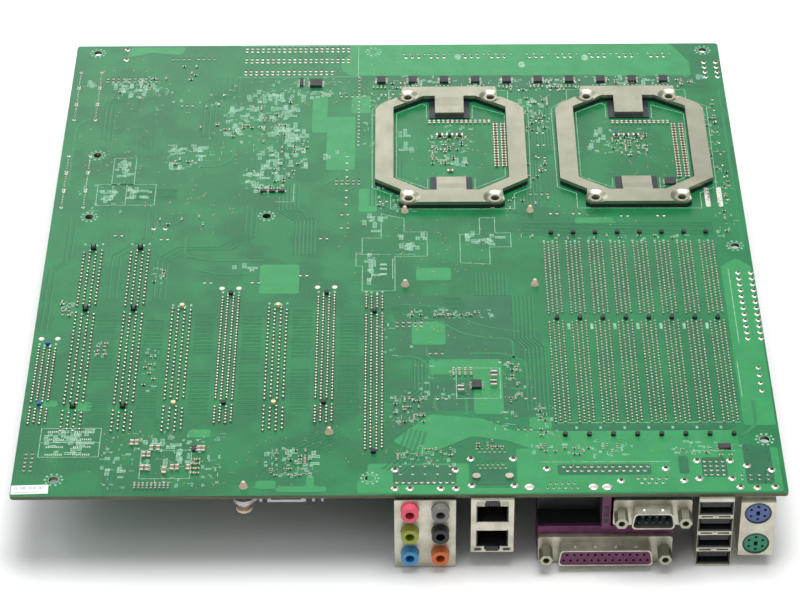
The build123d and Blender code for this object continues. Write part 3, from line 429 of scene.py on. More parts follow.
def connector_joints():
    """Drive, power and panel connectors along the front and right edges."""
    fields = [(81, y - back, 2.54, 0, 20, 1, 0.85) for y in (327, 317.5) for back in (0, 2.54)]
    fields.append((81, 307, 2.54, -2.54, 17, 2, 0.85))
    for x in (3.5, 13.2):
        for start in (198, 212, 226, 268, 282, 296):
            fields += [(x, start + 1, 0, 1.27, 1, 7, 0.38, 0.3), (x, start - 1.4, 0, 12.4, 1, 2, 0.9, 0.3)]
    fields += [
        (134.5, 245, 0, 3, 1, 20, 0.6, 0.35), (129.5, 198, 0, 5.4, 1, 8, 0.7, 0.4),
        (298.5, 200, 0, 9, 1, 10, 0.7), (297, 300.5, 5.6, 4.2, 2, 4, 1.3),
        (298, 99, 5.5, 4.2, 2, 12, 1.3), (300.4, 64, 0, 5.08, 1, 4, 1.2),
    ]
    for start in (156.5, 168.5, 184.5, 197, 215, 228.5, 244.5, 257.5, 272.5):
        fields += [(start, 318.5, 3, 0, 3, 1, 0.9), (start - 1.2, 321.4, 3.4, 0, 4, 1, 0.6)]
    fields += [(24, 318, 0, 9, 1, 2, 1.5), (45.5, 180, 5, 0, 2, 1, 1.2)]
    joint_fields(fields)


def rear_joints():
    """Legs and contacts of the rear connectors."""
    legs = [
        (150.8, 15.2), (174.8, 15), (150.8, 3.8), (174.8, 3.6), (156.7, 3.7), (168.8, 3.6),
        (180.9, 21.7), (197.7, 21.6), (181, 5.4), (197.7, 5.3), (210.8, 15.4), (257.7, 15.2), (239.7, 7.8),
        (264.5, 7.8), (270.4, 19.9), (283.5, 19.8), (270.5, 8.9), (283.4, 8.9),
        (286.2, 3.7), (292.8, 3.2), (299.8, 3.7), (289.9, 16.7), (299.4, 14),
    ]
    for x, y in legs:
        joint(x, y, 1.7, 1)
    for x, y in ((203.6, 4.2), (228.7, 4.1), (234, 4)):
        leads.turned(x, y, [(2.1, 0), (1.9, 0.3), (1.2, 0.42)], 20)
    fields = [(151.6, 7.4, 2.45, 0, 10, 1, 0.8), (153, 12.5, 4.9, 4.9, 5, 2, 0.7)]
    fields += [(x, y, 2, 0, 6, 1, 0.55) for x, y in ((183.6, 28), (184.6, 26), (183.6, 18), (184.6, 16))]
    fields += [
        (210.6, 3.6, 2.4, 0, 6, 1, 0.6), (211.8, 6.2, 2.4, 0, 5, 1, 0.6), (217.6, 16.5, 2.77, 0, 13, 1, 0.75),
        (219, 14, 2.77, 0, 12, 1, 0.75), (246.5, 9, 2.77, 0, 5, 1, 0.75), (247.9, 6.5, 2.77, 0, 4, 1, 0.75),
        (273.3, 11.3, 2.4, 2.7, 4, 4, 0.7),
    ]
    joint_fields(fields + [(x, 8.4, 0, 2.6, 1, 2, 0.6) for x in (287.5, 290.9, 294.3, 297.7)])


def can_joints():
    """Two leads under every electrolytic can."""
    for low, high in islands("capacitors"):
        x, y = middle(low, high)
        reach = (high[0] - low[0]) * 0.22
        for dx in (-reach, reach):
            joint(x + dx, y, 0.75, 0.7)


def header_joints():
    """Leads of every board header, on the tenth-inch grid of its base."""
    for low, high in islands("pin_headers"):
        columns, rows = round((high[0] - low[0]) / 2.54), round((high[1] - low[1]) / 2.54)
        joint_fields([(low[0] + 1.27, low[1] + 1.27, 2.54, 2.54, columns, rows, 0.7, 0.9)])


def make_joints():
    """All bright solder in one piece, and the lead ends and fillets painted dark as shade in another."""
    for add_joints in (slot_joints, dimm_joints, connector_joints, rear_joints, can_joints, header_joints):
        add_joints()
    leads.make("solder_joints", "solder", smooth=True)
    joint_shade.make("joint_dark_parts_painted_shade", "pin", smooth=True)


# ---- copper seen through the mask
POURS = [
    box(113, 255, 120, 285), box(120, 225, 133, 268), box(131, 271, 140, 286), box(135, 192, 143, 210),
    [(130, 303), (290, 303), (290, 314), (282, 330), (130, 330), (130, 322), (126, 316), (126, 308)],
    [(24, 320), (36, 324), (50, 322), (52, 329), (26, 329)], box(93, 132, 110, 153), box(18, 53, 28, 59),
    box(68, 36, 77, 41), [(136, 1), (150, 1), (150, 14), (143, 14), (143, 9), (136, 9)], box(158, 96, 172, 112),
    [(165, 76), (183, 76), (183, 50), (195, 50), (195, 86), (165, 86)], box(160, 141, 175, 150),
    box(230, 182, 247, 187), [(291, 42), (304, 42), (304, 150), (298, 156), (291, 150)],
    [(150, 33), (165, 50), (186, 47), (199, 39), (288, 39), (288, 28), (205, 28), (196, 33), (182, 36),
     (162, 24)],
    box(205, 40, 214, 48), box(96, 4, 104, 9),
    [(104, 2), (124, 2), (124, 5.5), (119, 5.5), (119, 12), (116, 12), (116, 5.5), (104, 5.5)],
    box(152, 0.5, 204, 4), box(199, 1, 303, 28), box(140, 1, 180, 19), box(5, 56, 14, 60),
    box(246, 302, 290, 306),
]
INNER_PLANE = [
    [(152, 86), (212, 86), (212, 103), (201, 110), (201, 130), (152, 130)],
    [(150, 36), (164, 52), (198, 52), (198, 46), (212, 52), (212, 72), (150, 72)],
]
SHADES = [
    box(150, 6, 175, 18), box(181, 6, 196, 16), box(215, 11.5, 252, 18), box(263, 12, 267, 23),
    box(272, 10, 282, 22), box(289, 5.5, 300, 30),
    [(215, 39.2), (284, 39.2), (288, 41.6), (288, 42.2), (215, 42.2)], box(150, 292, 296, 302),
    box(186, 20, 196, 26),
]


def make_pours():
    for name, shapes, finish_name, top in (
        ("inner_plane", INNER_PLANE, "pour_deep", PLANE_TOP),
        ("copper_pours", POURS, "pour", POUR_TOP),
        ("inner_plane_shades", SHADES, "pour_deep", SHADE_TOP),
    ):
        pile = Pile()
        for k, outline in enumerate(shapes):
            pile.prism(rounded(outline, 1.6), 0, top + 0.0008 * k)
        pile.make(name, finish_name)


# bundles of parallel traces: a middle line, how many traces, their spacing
BUNDLES = [([(x, y), (x + 8, y)], count, spacing) for x, y, count, spacing in (
    (26, 52, 7, 2.6), (26, 84, 9, 2.6), (26, 112, 6, 2.6), (46, 60, 10, 2.4), (46, 100, 12, 2.4),
    (67, 64, 12, 2.4), (67, 104, 12, 2.4), (87, 64, 12, 2.4), (87, 100, 14, 2.4), (108, 66, 12, 2.4),
    (108, 104, 14, 2.4), (128, 66, 14, 2.4), (128, 102, 12, 2.4),
)]
BUNDLES += [
    ([(209, 52), (209, 94), (205, 100), (205, 130)], 6, 1.7), ([(192, 130), (192, 146)], 9, 1.6),
    ([(100, 14), (112, 26), (130, 38)], 6, 2), ([(150, 14), (156, 22), (160, 40)], 5, 2),
    ([(31, 128), (31, 160), (44, 173), (44, 192)], 2, 3.4),
    ([(51, 128), (51, 156), (60, 165), (78, 165), (88, 175), (88, 196)], 3, 2.6),
    ([(112, 160), (112, 186), (104, 194), (104, 214)], 6, 1.7), ([(150, 190), (162, 202), (162, 214)], 6, 1.6),
    ([(205, 190), (212, 196), (212, 232), (220, 240), (220, 276)], 6, 1.5),
    ([(4, 106), (4, 150), (10, 156), (10, 186)], 2, 2.4), ([(66, 252), (66, 280), (76, 290), (76, 302)], 3, 2.6),
    ([(20, 250), (20, 280), (28, 288), (28, 300)], 3, 2.2),
    ([(98, 216), (98, 236), (104, 242), (104, 262)], 6, 1.6), ([(54, 44), (66, 44)], 4, 2.2),
    ([(146, 60), (158, 60), (162, 64), (162, 84)], 5, 1.8),
    ([(150, 118), (166, 118), (172, 124), (180, 124)], 5, 1.8), ([(206, 178), (290, 178)], 5, 2),
    ([(150, 234), (150, 216), (143, 209), (143, 196)], 5, 1.7), ([(36, 206), (54, 206)], 5, 1.8),
]
# rounded loops of wide trace: outline, width
LOOPS = [
    ([(167, 52), (167, 62), (180, 62), (180, 48)], 1.2), ([(150, 88), (160, 88), (165, 82), (165, 72)], 1.2),
    ([(198, 66), (205, 66), (205, 84), (196, 90), (180, 90)], 1.2),
    ([(152, 118), (170, 112), (178, 104), (190, 100), (200, 100), (200, 72)], 0.9),
    ([(152, 124), (172, 122), (184, 110), (196, 106), (205, 104)], 0.8), ([(164, 96), (164, 88), (170, 84)], 0.9),
    ([(60, 176), (60, 160), (72, 156), (96, 156)], 0.8), ([(64, 150), (76, 146), (92, 146)], 0.7),
    ([(288, 34), (296, 42), (296, 60)], 1.6), ([(60, 228), (72, 228), (78, 234), (78, 246)], 1),
    ([(118, 212), (126, 220), (126, 224)], 1.2), ([(5, 210), (5, 262), (12, 269)], 1),
    ([(302, 160), (302, 292)], 1.2),
]


def make_traces():
    copper, gaps = Pile(), Pile()
    for n, (line, count, spacing) in enumerate(BUNDLES):
        way = (Vector(line[-1]) - Vector(line[0])).normalized()
        aside = Vector((-way.y, way.x))
        for k in range(count):
            shift = aside * spacing * (k - (count - 1) / 2)
            moved = [(x + shift.x, y + shift.y) for x, y in line]
            copper.strip(moved, 0.5, 0, TRACE_TOP + 0.0004 * n)
            beside = aside * 0.62
            gaps.strip([(x + beside.x, y + beside.y) for x, y in moved], 0.4, 0, GAP_TOP + 0.0002 * n)
    for line, width in LOOPS:
        copper.strip(rounded(line, 4)[2:-2], width, 0, LOOP_TOP)
    copper.make("signal_traces", "trace")
    gaps.make("trace_gaps", "trace_dark")


def make_vias():
    """Plated holes between layers: bare ones near the parts and covered ones over the whole board."""
    keep_off = [(cx - 37, cy - 48, cx + 37, cy + 51) for cx, cy in CPUS]
    bare, covered = Pile(), Pile()
    middles = [(85, 250), (40, 30), (60, 20), (108, 22), (183, 165), (176, 240), (258, 240), (30, 230), (60, 200)]
    middles += [(160, 110), (190, 70), (225, 25), (150, 50), (120, 290), (30, 290), (150, 165), (245, 200)]
    for x0, y0 in middles:
        for _ in range(40):
            x, y = rng.gauss(x0, 13), rng.gauss(y0, 13)
            if 2 < x < WIDTH - 2 and 2 < y < DEPTH - 2:
                bare.turned(x, y, [(0.3, 0), (0.26, 0.05)], 6)
    for _ in range(2600):
        x, y = rng.uniform(2, WIDTH - 2), rng.uniform(2, DEPTH - 2)
        if all(not (a < x < c and b < y < d) for a, b, c, d in keep_off):
            covered.turned(x, y, [(0.36, 0), (0.3, 0.05)], 6)
    for cx, cy in CPUS:
        for i in range(26):
            for j in range(30):
                x, y = cx - 15 + 1.2 * i, cy - 18 + 1.25 * j
                if abs(x - cx) > 7 or abs(y - cy) > 9:
                    covered.turned(x, y, [(0.26, 0), (0.22, 0.05)], 6)
    bare.make("plated_vias", "gold")
    covered.make("covered_vias", "trace")


# ---- printed lines
def outlines_around_plates():
    outer = [
        (-27.9, 50.1), (-27.9, 42.2), (-35.6, 34), (-35.3, -29.4), (-27.1, -34.6), (-27.1, -45.9), (27.7, -46.4),
        (27.8, -34.7), (35.5, -29.7), (36.3, 35.6), (27.2, 41.2), (27.4, 49.5),
    ]
    right = [(10.4, 25.9), (10.7, 36.8), (25.3, 29.3), (24.3, -21), (10.5, -30.3), (10.7, -22.6)]
    left = [(-10.6, 26.1), (-10.5, 37), (-12.5, 38.4), (-24.3, 30.7), (-24.4, -21.4), (-10.6, -30.1),
            (-10.5, -22.4)]
    shapes = ((outer, True), (right, False), (left, False))
    return [([(cx + x, cy + y) for x, y in line], closed) for cx, cy in CPUS for line, closed in shapes]


SILK_LINES = [
    (box(24.5, 214, 34.5, 235), True), (box(18.5, 198, 44.5, 214), True), ([(31.5, 198), (31.5, 214)], False),
    ([(145, 190.5), (145, 172), (136.8, 172), (136.8, 161), (134.2, 161), (134.2, 151.5), (137, 151.5),
      (137, 133.5), (151, 133.5), (151, 158.5), (165, 158.5), (165, 176.5), (155, 176.5), (155, 187),
      (148, 189)], True),
    ([(134.5, 160), (149, 160)], False), ([(151, 160), (160, 160)], False), ([(141, 142), (141, 157)], False),
    ([(150, 142), (150, 157)], False),
    ([(179.3, 174.5), (188, 174.5), (188, 187), (194.7, 187), (194.7, 175.5), (201.4, 175.5), (201.4, 165),
      (192, 165), (192, 152.5), (179.3, 153.5)], True),
    (box(9, 24, 33, 42), True), ([(9, 33), (33, 33)], False), (box(50, 10.5, 70, 28), True),
    (box(176, 60, 194, 80), True), ([(216, 44), (290, 44)], False), ([(208, 19.5), (260, 19.5)], False),
    ([(268, 26), (286, 26)], False), ([(292, 60), (292, 84)], False), ([(294, 96), (294, 148)], False),
    (box(78, 302, 134, 329), False), ([(98, 200), (106, 200), (106, 214)], False),
]
# dense places of small printed marks: middle, half width, half depth, how many
SILK_MARKS = [
    (92, 262, 14, 24, 60), (104, 236, 8, 18, 30), (92, 216, 9, 10, 22), (76, 250, 10, 20, 16),
    (98, 290, 14, 8, 34), (34, 293, 12, 10, 34), (54, 236, 7, 10, 24), (58, 22, 24, 18, 120),
    (109, 20, 10, 9, 40), (12, 122, 3, 6, 10), (29, 94, 3, 5, 10), (50, 80, 3, 15, 14), (50, 144, 3, 8, 10),
    (157, 54, 8, 10, 30), (200, 72, 4, 12, 20), (174, 117, 18, 3, 34), (217, 270, 6, 16, 34),
    (212, 46, 4, 10, 16), (225, 27, 20, 5, 36), (164, 24, 12, 6, 30), (222, 296, 74, 6, 90),
    (142, 262, 6, 30, 34), (152, 205, 10, 14, 26), (296, 220, 5, 60, 50), (20, 205, 12, 12, 20),
    (150, 100, 8, 12, 14), (275, 28, 14, 4, 22), (60, 285, 20, 16, 30), (176, 248, 10, 12, 44),
    (256, 246, 10, 11, 40), (195, 46, 5, 6, 12), (110, 296, 18, 8, 26), (245, 172, 40, 2, 16),
    (170, 70, 9, 12, 22),
]
# printed rows of characters: middle, half width, half depth, how many
SILK_LABELS = [
    (96, 284, 13, 4, 26), (82, 264, 9, 12, 34), (100, 264, 7, 12, 40), (106, 240, 5, 14, 34), (94, 232, 5, 8, 16),
    (92, 214, 8, 8, 22), (30, 293, 11, 8, 26), (52, 240, 2, 5, 9), (54, 227, 4, 1, 7), (62, 237, 2, 7, 10),
    (29, 226, 3, 6, 16), (23, 205, 3, 5, 12), (37, 206, 5, 4, 14), (141, 182, 4, 6, 10), (158, 168, 6, 6, 12),
    (140, 148, 2, 10, 12), (187, 170, 8, 5, 14), (21, 33, 10, 7, 30), (40, 20, 4, 8, 8), (60, 24, 10, 8, 10),
    (60, 31, 10, 2, 6), (109, 22, 10, 7, 7), (176, 230, 8, 4, 7), (156, 246, 3, 8, 9), (243, 244, 4, 10, 12),
    (121, 236, 4, 3, 4), (116, 286, 4, 3, 8), (214, 276, 5, 6, 8), (226, 296, 70, 3, 24), (84, 150, 6, 2, 4),
    (9, 292, 2, 6, 5),
]


def scattered(table):
    """Chance places round each middle, as many as its row says."""
    for x, y, half_w, half_d, count in table:
        for _ in range(count):
            yield x + rng.uniform(-half_w, half_w), y + rng.uniform(-half_d, half_d)


def make_silkscreen():
    silk = Pile()

    def print_bar(x, y, w, d, top=INK_TOP):
        silk.block(x, y, w, d, INK_FOOT, top)

    for line, closed in SILK_LINES + outlines_around_plates():
        silk.strip(line, 0.32, INK_FOOT, OUTLINE_TOP, closed)
    for x, y in scattered(SILK_MARKS):
        across = rng.random() < 0.5
        size = rng.choice((1.1, 1.6, 2.4))
        for k in range(rng.choice((1, 2, 3))):
            shift = 0.46 * k
            w, d = (size, 0.26) if across else (0.26, size)
            print_bar(x + (0 if across else shift), y + (shift if across else 0), w, d)
    for x in DIMM_X:
        for dx in DIMM_COLUMNS[::2]:
            print_bar(x + dx, 169.2, 0.8, 1.3)
    for x in DIMM_X[:-1]:
        print_bar(x + 4.8, 108, 1.2, 4)
        print_bar(x + 4.8, 40.8, 1, 1.6)
    for y in (152.5, 149.3, 145.5):
        print_bar(146, y, 3, 1.4)
    for mid_x, outer, inner, _, last, _, _ in SLOT_FIELDS:
        for dx in (-outer, -inner, inner, outer):
            print_bar(mid_x + dx, last + (1.2 if abs(dx) == inner else 2), 0.9, 1.4, BAR_TOP)
    for n, (x, y) in enumerate(scattered(SILK_LABELS), 1):
        letters, upright = rng.choice((2, 3, 4, 5)), rng.random() < 0.65
        for k in range(letters):
            step = 0.95 * k
            for edge in (-0.5, 0.5):
                across, along = x + (edge if upright else step), y + (step if upright else edge)
                print_bar(across, along, 0.85, 0.68, LABEL_TOP + 0.00003 * n)
    silk.make("silkscreen_lines", "silk")


# ---- pads, rings and the label
PEG_PADS = [(3.5, 101.3), (10.3, 101.3), (77.3, 136), (84.5, 136), (118, 136.5), (125.3, 136.5)]
OVALS = [(181, 319), (241, 318), (211, 312)]


def make_pads():
    pads, rings, light = Pile(), Pile(), Pile()
    for x, y in HOLES:
        rings.annulus(x, y, 2, 2.3, 0, 0.06, 28)
        for k in range(10):
            a = k * math.pi / 5
            rings.turned(x + 3.4 * math.cos(a), y + 3.4 * math.sin(a), [(0.6, 0), (0.5, 0.1)], 8)
    for x, y in PEG_PADS:
        pads.turned(x, y, [(1.2, 0), (1.1, 0.1)], 20)
    for x, y in OVALS:
        light.shell([[(px, y + (py - y) * 1.6, z) for px, py, _ in ring(x, y, 1.6, 0, 20)] for z in (0, 0.05)])
    for x in (289.5, 295):
        pads.prism(rounded(box(x - 1.1, 194.5, x + 1.1, 209.5), 1), 0, 0.1)
    # fine footprints that were never filled
    for x, y in ((15, 28), (26, 28), (15, 37.5), (26, 37.5)):
        for k in range(9):
            for side in (-1, 1):
                pads.block(x - 3.2 + 0.8 * k, y + side * 2.4, 0.36, 1.1, 0, 0.05, 0.01)
    pads.make("bare_pads", "solder")
    rings.make("mounting_hole_rings", "silk")
    light.make("test_lands", "silk")


def make_label():
    """A blank serial sticker near the rear left corner, with plain bars in place of its print."""
    label, bars = Pile(), Pile()
    tilt = math.radians(2)
    label.block(7.6, 4.2, 14.6, 5.4, 0.05, 0.16, 0.02, tilt)
    for k in range(16):
        if k % 5 != 2:
            bars.block(1.8 + 0.72 * k, 4.9 + 0.025 * k, 0.3 + 0.12 * (k % 3), 1.5, 0.16, 0.18, 0, tilt)
    bars.block(6.6, 2.6, 9.6, 0.4, 0.16, 0.18, 0, tilt)
    label.make("serial_label", "paper")
    bars.make("serial_label_bars", "ink")


# ---- small soldered parts
class SmallParts:
    """Two-ended ceramic and resistor bodies with their soldered ends, on either face."""

    def __init__(self):
        self.ceramic, self.resistor, self.ends, self.body = Pile(), Pile(), Pile(), Pile()

    def add(self, x, y, length, width, height, lengthwise_x, ceramic=True, base=0.06):
        """One part lying along X or Y. base is the height of its foot; it hangs down when height is negative."""
        cap = length * 0.26
        low, high = sorted((base, base + height))
        pile = self.ceramic if ceramic else self.resistor
        size = (length - 2 * cap, width) if lengthwise_x else (width, length - 2 * cap)
        pile.block(x, y, size[0], size[1], low, high, 0.08)
        for side in (-1, 1):
            off = side * (length - cap) / 2
            dx, dy = (off, 0) if lengthwise_x else (0, off)
            size = (cap, width + 0.06) if lengthwise_x else (width + 0.06, cap)
            self.ends.block(x + dx, y + dy, size[0], size[1], low, high + 0.04, 0.08)

    def cluster(self, x, y, half_w, half_d, count):
        """A loose but aligned crowd of parts on a grid, thinned out by chance."""
        pitch = 1.9
        places = [
            (x - half_w + pitch * i, y - half_d + pitch * j)
            for i in range(int(2 * half_w / pitch) + 1) for j in range(int(2 * half_d / pitch) + 1)
        ]
        for px, py in sorted(rng.sample(places, min(count, len(places)))):
            self.add(px, py, 1.5, 0.78, 0.5, rng.random() < 0.5, rng.random() < 0.6)

    def row(self, x0, y0, step_x, step_y, count, lengthwise_x, size=(1.6, 0.8), ceramic=True):
        for k in range(count):
            self.add(x0 + k * step_x, y0 + k * step_y, size[0], size[1], 0.6, lengthwise_x, ceramic)

    def package(self, x, y, w, d, height, legs, pitch):
        """A moulded package with gull-wing legs along its two X sides."""
        self.body.block(x, y, w, d, 0.12, height, 0.15)
        for k in range(legs):
            leg_y = y + (k - (legs - 1) / 2) * pitch
            for side in (-1, 1):
                self.ends.block(x + side * (w / 2 + 0.35), leg_y, 0.8, 0.42, 0.02, 0.35, 0.08)

    def make(self):
        self.ceramic.make("ceramic_capacitors", "cap_body")
        self.resistor.make("chip_resistors", "res_body")
        self.ends.make("soldered_ends", "solder")
        self.body.make("small_transistors", "chip")


# crowds of parts: middle, half width, half depth, how many
CROWDS = [
    (70, 270, 8, 18, 8), (92, 262, 14, 20, 22), (104, 236, 8, 16, 12), (94, 218, 8, 8, 14), (34, 293, 11, 9, 8),
    (56, 236, 4, 10, 5), (12, 122, 2, 5, 4), (29, 94, 2, 4, 4), (50, 79, 2, 13, 8), (50, 144, 2, 7, 4),
    (109, 20, 9, 8, 26), (157, 54, 6, 9, 20), (200, 75, 1, 8, 7), (200, 60, 2, 2, 4), (174, 117, 16, 1, 14),
    (210.5, 46, 1, 10, 9), (217, 270, 5, 14, 22), (215, 225, 4, 10, 10), (222, 294, 72, 4, 60),
    (176, 240, 8, 11, 34), (258, 244, 8, 9, 34), (225, 27, 18, 3, 16), (163, 24, 11, 4, 14),
    (146, 262, 3, 26, 18), (297, 225, 3, 55, 20), (60, 186, 16, 3, 5), (150, 205, 8, 10, 8),
    (190, 198, 30, 4, 16), (60, 306, 12, 6, 5), (275, 26, 10, 3, 8), (190, 30, 6, 3, 8), (245, 172, 34, 1, 9),
]


def make_small_parts():
    parts = SmallParts()
    for crowd in CROWDS:
        parts.cluster(*crowd)
    # inside the processors' rings
    for row in (
        (167, 263, 2.1, 0, 14, False, (2.2, 1.2)), (197, 227, 0, 2.1, 17, True, (2.2, 1.2)),
        (200.4, 227, 0, 2.1, 17, True, (2.2, 1.2)), (251, 262, 2.1, 0, 13, False, (2.2, 1.2)),
        (278.5, 218, 0, 2.1, 21, True, (2, 1.1)), (281.9, 218, 0, 2.1, 21, True, (2, 1.1)),
    ):
        parts.row(*row)
    for x in (171.5, 176, 180.5):
        parts.add(x, 251.5, 3.2, 1.8, 1.2, True, False)
        parts.add(x + 80.5, 251, 3, 1.6, 1, True, False)
    parts.add(176, 223, 2.6, 1.5, 0.9, True)
    # beside the clock and audio circuits
    for x, y in ((45.8, 32.5), (47.8, 32.5), (53.8, 29), (56.5, 29), (51, 25), (53, 25), (50.7, 16.7),
                 (52.8, 16.7), (62.7, 17), (64.7, 17), (69, 17), (72.8, 28.5), (74.5, 28.5)):
        parts.add(x, y, 3.2, 1.5, 0.8, False)
    parts.add(59.8, 15, 4, 1.7, 1, False)
    parts.row(48.6, 7, 1.65, 0, 9, False, (1.5, 0.8))
    parts.row(48.6, 5, 1.65, 0, 9, False, (1.5, 0.8), False)
    for x in (70.8, 72.8):
        parts.row(x, 13.5, 0, 2.8, 4, True, (1.7, 0.9))
    # regulator beside the memory
    for x, y in ((191.5, 75), (191.2, 69), (177.8, 65.5)):
        parts.add(x, y, 3.4, 2.6, 1.5, False, False)
    for y in (76, 79):
        parts.row(175, y, 2.4, 0, 4, False, (1.8, 1))
    for package in (
        *((x, 208, 2.9, 1.6, 1, 2, 1) for x in (92.5, 96.5, 100.5)), (70.7, 28.5, 1.6, 3, 1, 2, 1.6),
        (274, 214, 5, 5, 1.1, 4, 1), (282, 28, 5, 3, 1.2, 2, 1.5), (107.5, 297, 1.6, 6, 0.9, 4, 1.4),
    ):
        parts.package(*package)
    for x in PHASE_X:
        parts.row(x - 3.6, 292.5, 1.8, 0, 4, False, (1.6, 0.8), False)
    # legs of the driver chips that the board carries on this face
    for low, high in islands("driver_chips"):
        x, y = middle(low, high)
        for k in range(4):
            for side in (-1, 1):
                parts.ends.block(x + side * (high[0] - x + 0.45), y + (k - 1.5) * 1.2, 1, 0.45, 0.02, 0.4, 0.1)
    underside_crowds(parts)
    parts.make()


def underside_crowds(parts):
    """Small parts between the big ones on the component side, kept clear of every CAD solid there."""
    taken = [(x - 5.6, y - 5.6, x + 5.6, y + 5.6) for x, y in HOLES]
    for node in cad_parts:
        if node not in ("pcb", "push_pins"):
            below = [(a, b) for a, b in islands(node) if a[2] < -THICK - 0.2]
            taken += [(a[0] - 1.6, a[1] - 1.6, b[0] + 1.6, b[1] + 1.6) for a, b in below]
    for _ in range(1500):
        x, y = round(rng.uniform(4, WIDTH - 4) / 2.1) * 2.1, round(rng.uniform(4, DEPTH - 4) / 2.1) * 2.1
        if all(not (a < x < c and b < y < d) for a, b, c, d in taken):
            parts.add(x, y, 1.6, 0.8, -0.55, rng.random() < 0.5, rng.random() < 0.6, -THICK - 0.02)
            taken.append((x - 1, y - 1, x + 1, y + 1))


# ---- processor backplates
def make_sleeve_threads():
    """Thread turns inside the heatsink standoffs, seen from above."""
    threads = Pile()
    for x, y in ((cx + sx * 19.1, cy - 1.2 + sy * 40.7) for cx, cy in CPUS for sx in (-1, 1) for sy in (-1, 1)):
        for k in range(6):
            threads.annulus(x, y, 1.62, 1.88, 2.5 - 0.6 * k - 0.22, 2.5 - 0.6 * k, 18)
    threads.make("standoff_threads", "nickel")


# ---- inside the rear connectors
def dark_port_walls(pile, x, y0, y1, half_w, drop0, drop1):
    """Black walls, floor and roof just inside a port, open to the rear: the network jacks' own black plastic, and
    painted shade inside the steel USB shells.
    """
    y, d = (y0 + y1) / 2, y1 - y0
    pile.hung(x, y, 2 * half_w, d, drop0 + 0.02, drop0 + 0.12)
    pile.hung(x, y, 2 * half_w, d, drop1 - 0.12, drop1 - 0.02)
    pile.hung(x, y1 - 0.1, 2 * half_w - 0.1, 0.12, drop0, drop1)
    for side in (-1, 1):
        pile.hung(x + side * (half_w - 0.08), y, 0.12, d, drop0, drop1)


def rear_ring(pile, x, drop, inner, outer, y0, y1, sides=24):
    """A ring facing the rear."""
    section = ((inner, y0), (outer, y0), (outer, y1), (inner, y1))
    rings = [ring(x, -THICK - drop, radius, y, sides) for radius, y in section]
    pile.shell([[(px, py, pz) for px, pz, py in points] for points in zip(*rings)], wrap=True)


def make_peg_prongs():
    """Split ends of the long slots' pegs, spread apart above the board."""
    prongs = Pile()
    for x, *_, pegs in SLOT_FIELDS[1:3]:
        for y in pegs:
            prongs.block(x, y, 2.3, 1.5, 0.05, 1.5, 0.1)
            for side in (-1, 1):
                foot = oblong(x + side * 0.75, y, 0.7, 0.8, 1.3)
                prongs.shell([foot, oblong(x + side * 1.1, y, 0.26, 0.4, 3)])
    prongs.make("slot_peg_prongs", "black")


FACE_Y = -1.54  # a skin on the steel faces of the ports


def make_port_details():
    """Black plastic, painted shade inside the USB shells and the parallel bay, contacts, springs and light
    windows of the network, USB, parallel and round ports.
    """
    dark, gold, metal, windows = Pile(), Pile(), Pile(), Pile()
    lan_x, usb_x = 189.05, 276.75
    for drop0, drop1, contact in ((3, 11.3, 10.6), (15.7, 24, 16.1)):
        dark_port_walls(dark, lan_x, -1.2, 11.4, 5.95, drop0, drop1)
        for k in range(8):
            gold.hung(lan_x - 3.57 + 1.02 * k, 6, 0.36, 4.6, contact, contact + 0.2)
    dark.hung(lan_x, FACE_Y, 5.4, 0.08, 0.4, 3.1)
    dark.hung(lan_x, FACE_Y, 4.8, 0.08, 23.9, 26.3)
    for drop0, drop1 in ((2.6, 11.4), (15.6, 24.1)):
        for side in (-1, 1):
            dark.hung(lan_x + side * 6.12, FACE_Y, 0.4, 0.08, drop0, drop1)
    for side in (-1, 1):
        windows.hung(lan_x + side * 4.6, -1.56, 3.2, 0.12, 1, 3.2, 0.1)
        windows.hung(lan_x + side * 5.7, -1.56, 3.8, 0.12, 24.5, 26.2, 0.1)
        dark.hung(lan_x + side * 5.7, -1.63, 2.6, 0.06, 24.8, 25.9)
    # USB: the black walls inside each steel shell are painted shade
    for drop in (4.9, 13.4, 21.9, 30.5):
        dark_port_walls(dark, usb_x, -1.3, 9.9, 6.25, drop - 2.56, drop + 2.56)
        for k in range(4):
            gold.hung(usb_x - 3.5 + 2.33 * k, 3.6, 1, 6, drop + 0.16, drop + 0.28)
        dark.hung(usb_x, 4.7, 11.3, 10.3, drop - 1.96, drop + 0.16)
        for side in (-1, 1):
            dark.hung(usb_x, FACE_Y, 13.4, 0.08, drop + side * 2.9 - 0.34, drop + side * 2.9 + 0.34)
            dark.hung(usb_x + side * 6.45, FACE_Y, 0.5, 0.08, drop - 3.2, drop + 3.2)
    for drop in (9.15, 17.65, 26.2):
        metal.hung(usb_x, -1.66, 1.2, 0.2, drop - 0.45, drop + 0.45, 0.08)
        for side in (-1, 1):
            dark.hung(usb_x + side * 3.4, -1.56, 4.6, 0.08, drop - 0.3, drop + 0.3)
    # parallel port's empty bay, its back wall, floor and side covered in black as painted shade, and the slots in
    # its rib
    dark.hung(219.7, 12.4, 25, 0.2, 0.3, 16.9)
    dark.hung(219.7, 8.3, 24.9, 8.4, 16.8, 16.95)
    dark.hung(231.9, 7.6, 0.2, 9.6, 0.3, 16.9)
    for drop in (6.4, 9.8, 13.2):
        dark.hung(233.9, 0.64, 1.9, 0.1, drop - 0.9, drop + 0.9)
    for drop in (7.6, 23.2):
        rear_ring(dark, 293.25, drop, 4.75, 5.35, -1.58, -1.44)
    # dimples that hold the plugs' shells
    for x, drop, xs in ((252, 8.5, (-3.6, 3.6)), (233.9, 27.4, (-12, -4, 4, 12))):
        for dx in xs:
            top = -THICK - drop + 3.85
            metal.turned(x + dx, -2.4, [(1, top), (0.8, top + 0.3), (0.3, top + 0.45)], 14)
    dark.make("port_black_parts_and_painted_shade", "black")
    gold.make("port_contacts", "gold")
    metal.make("port_springs", "tin")
    windows.make("lan_light_windows", "lens")


# ---- stage, light and camera
FLOOR_HALF, FLOOR_Z = 6, -0.0002


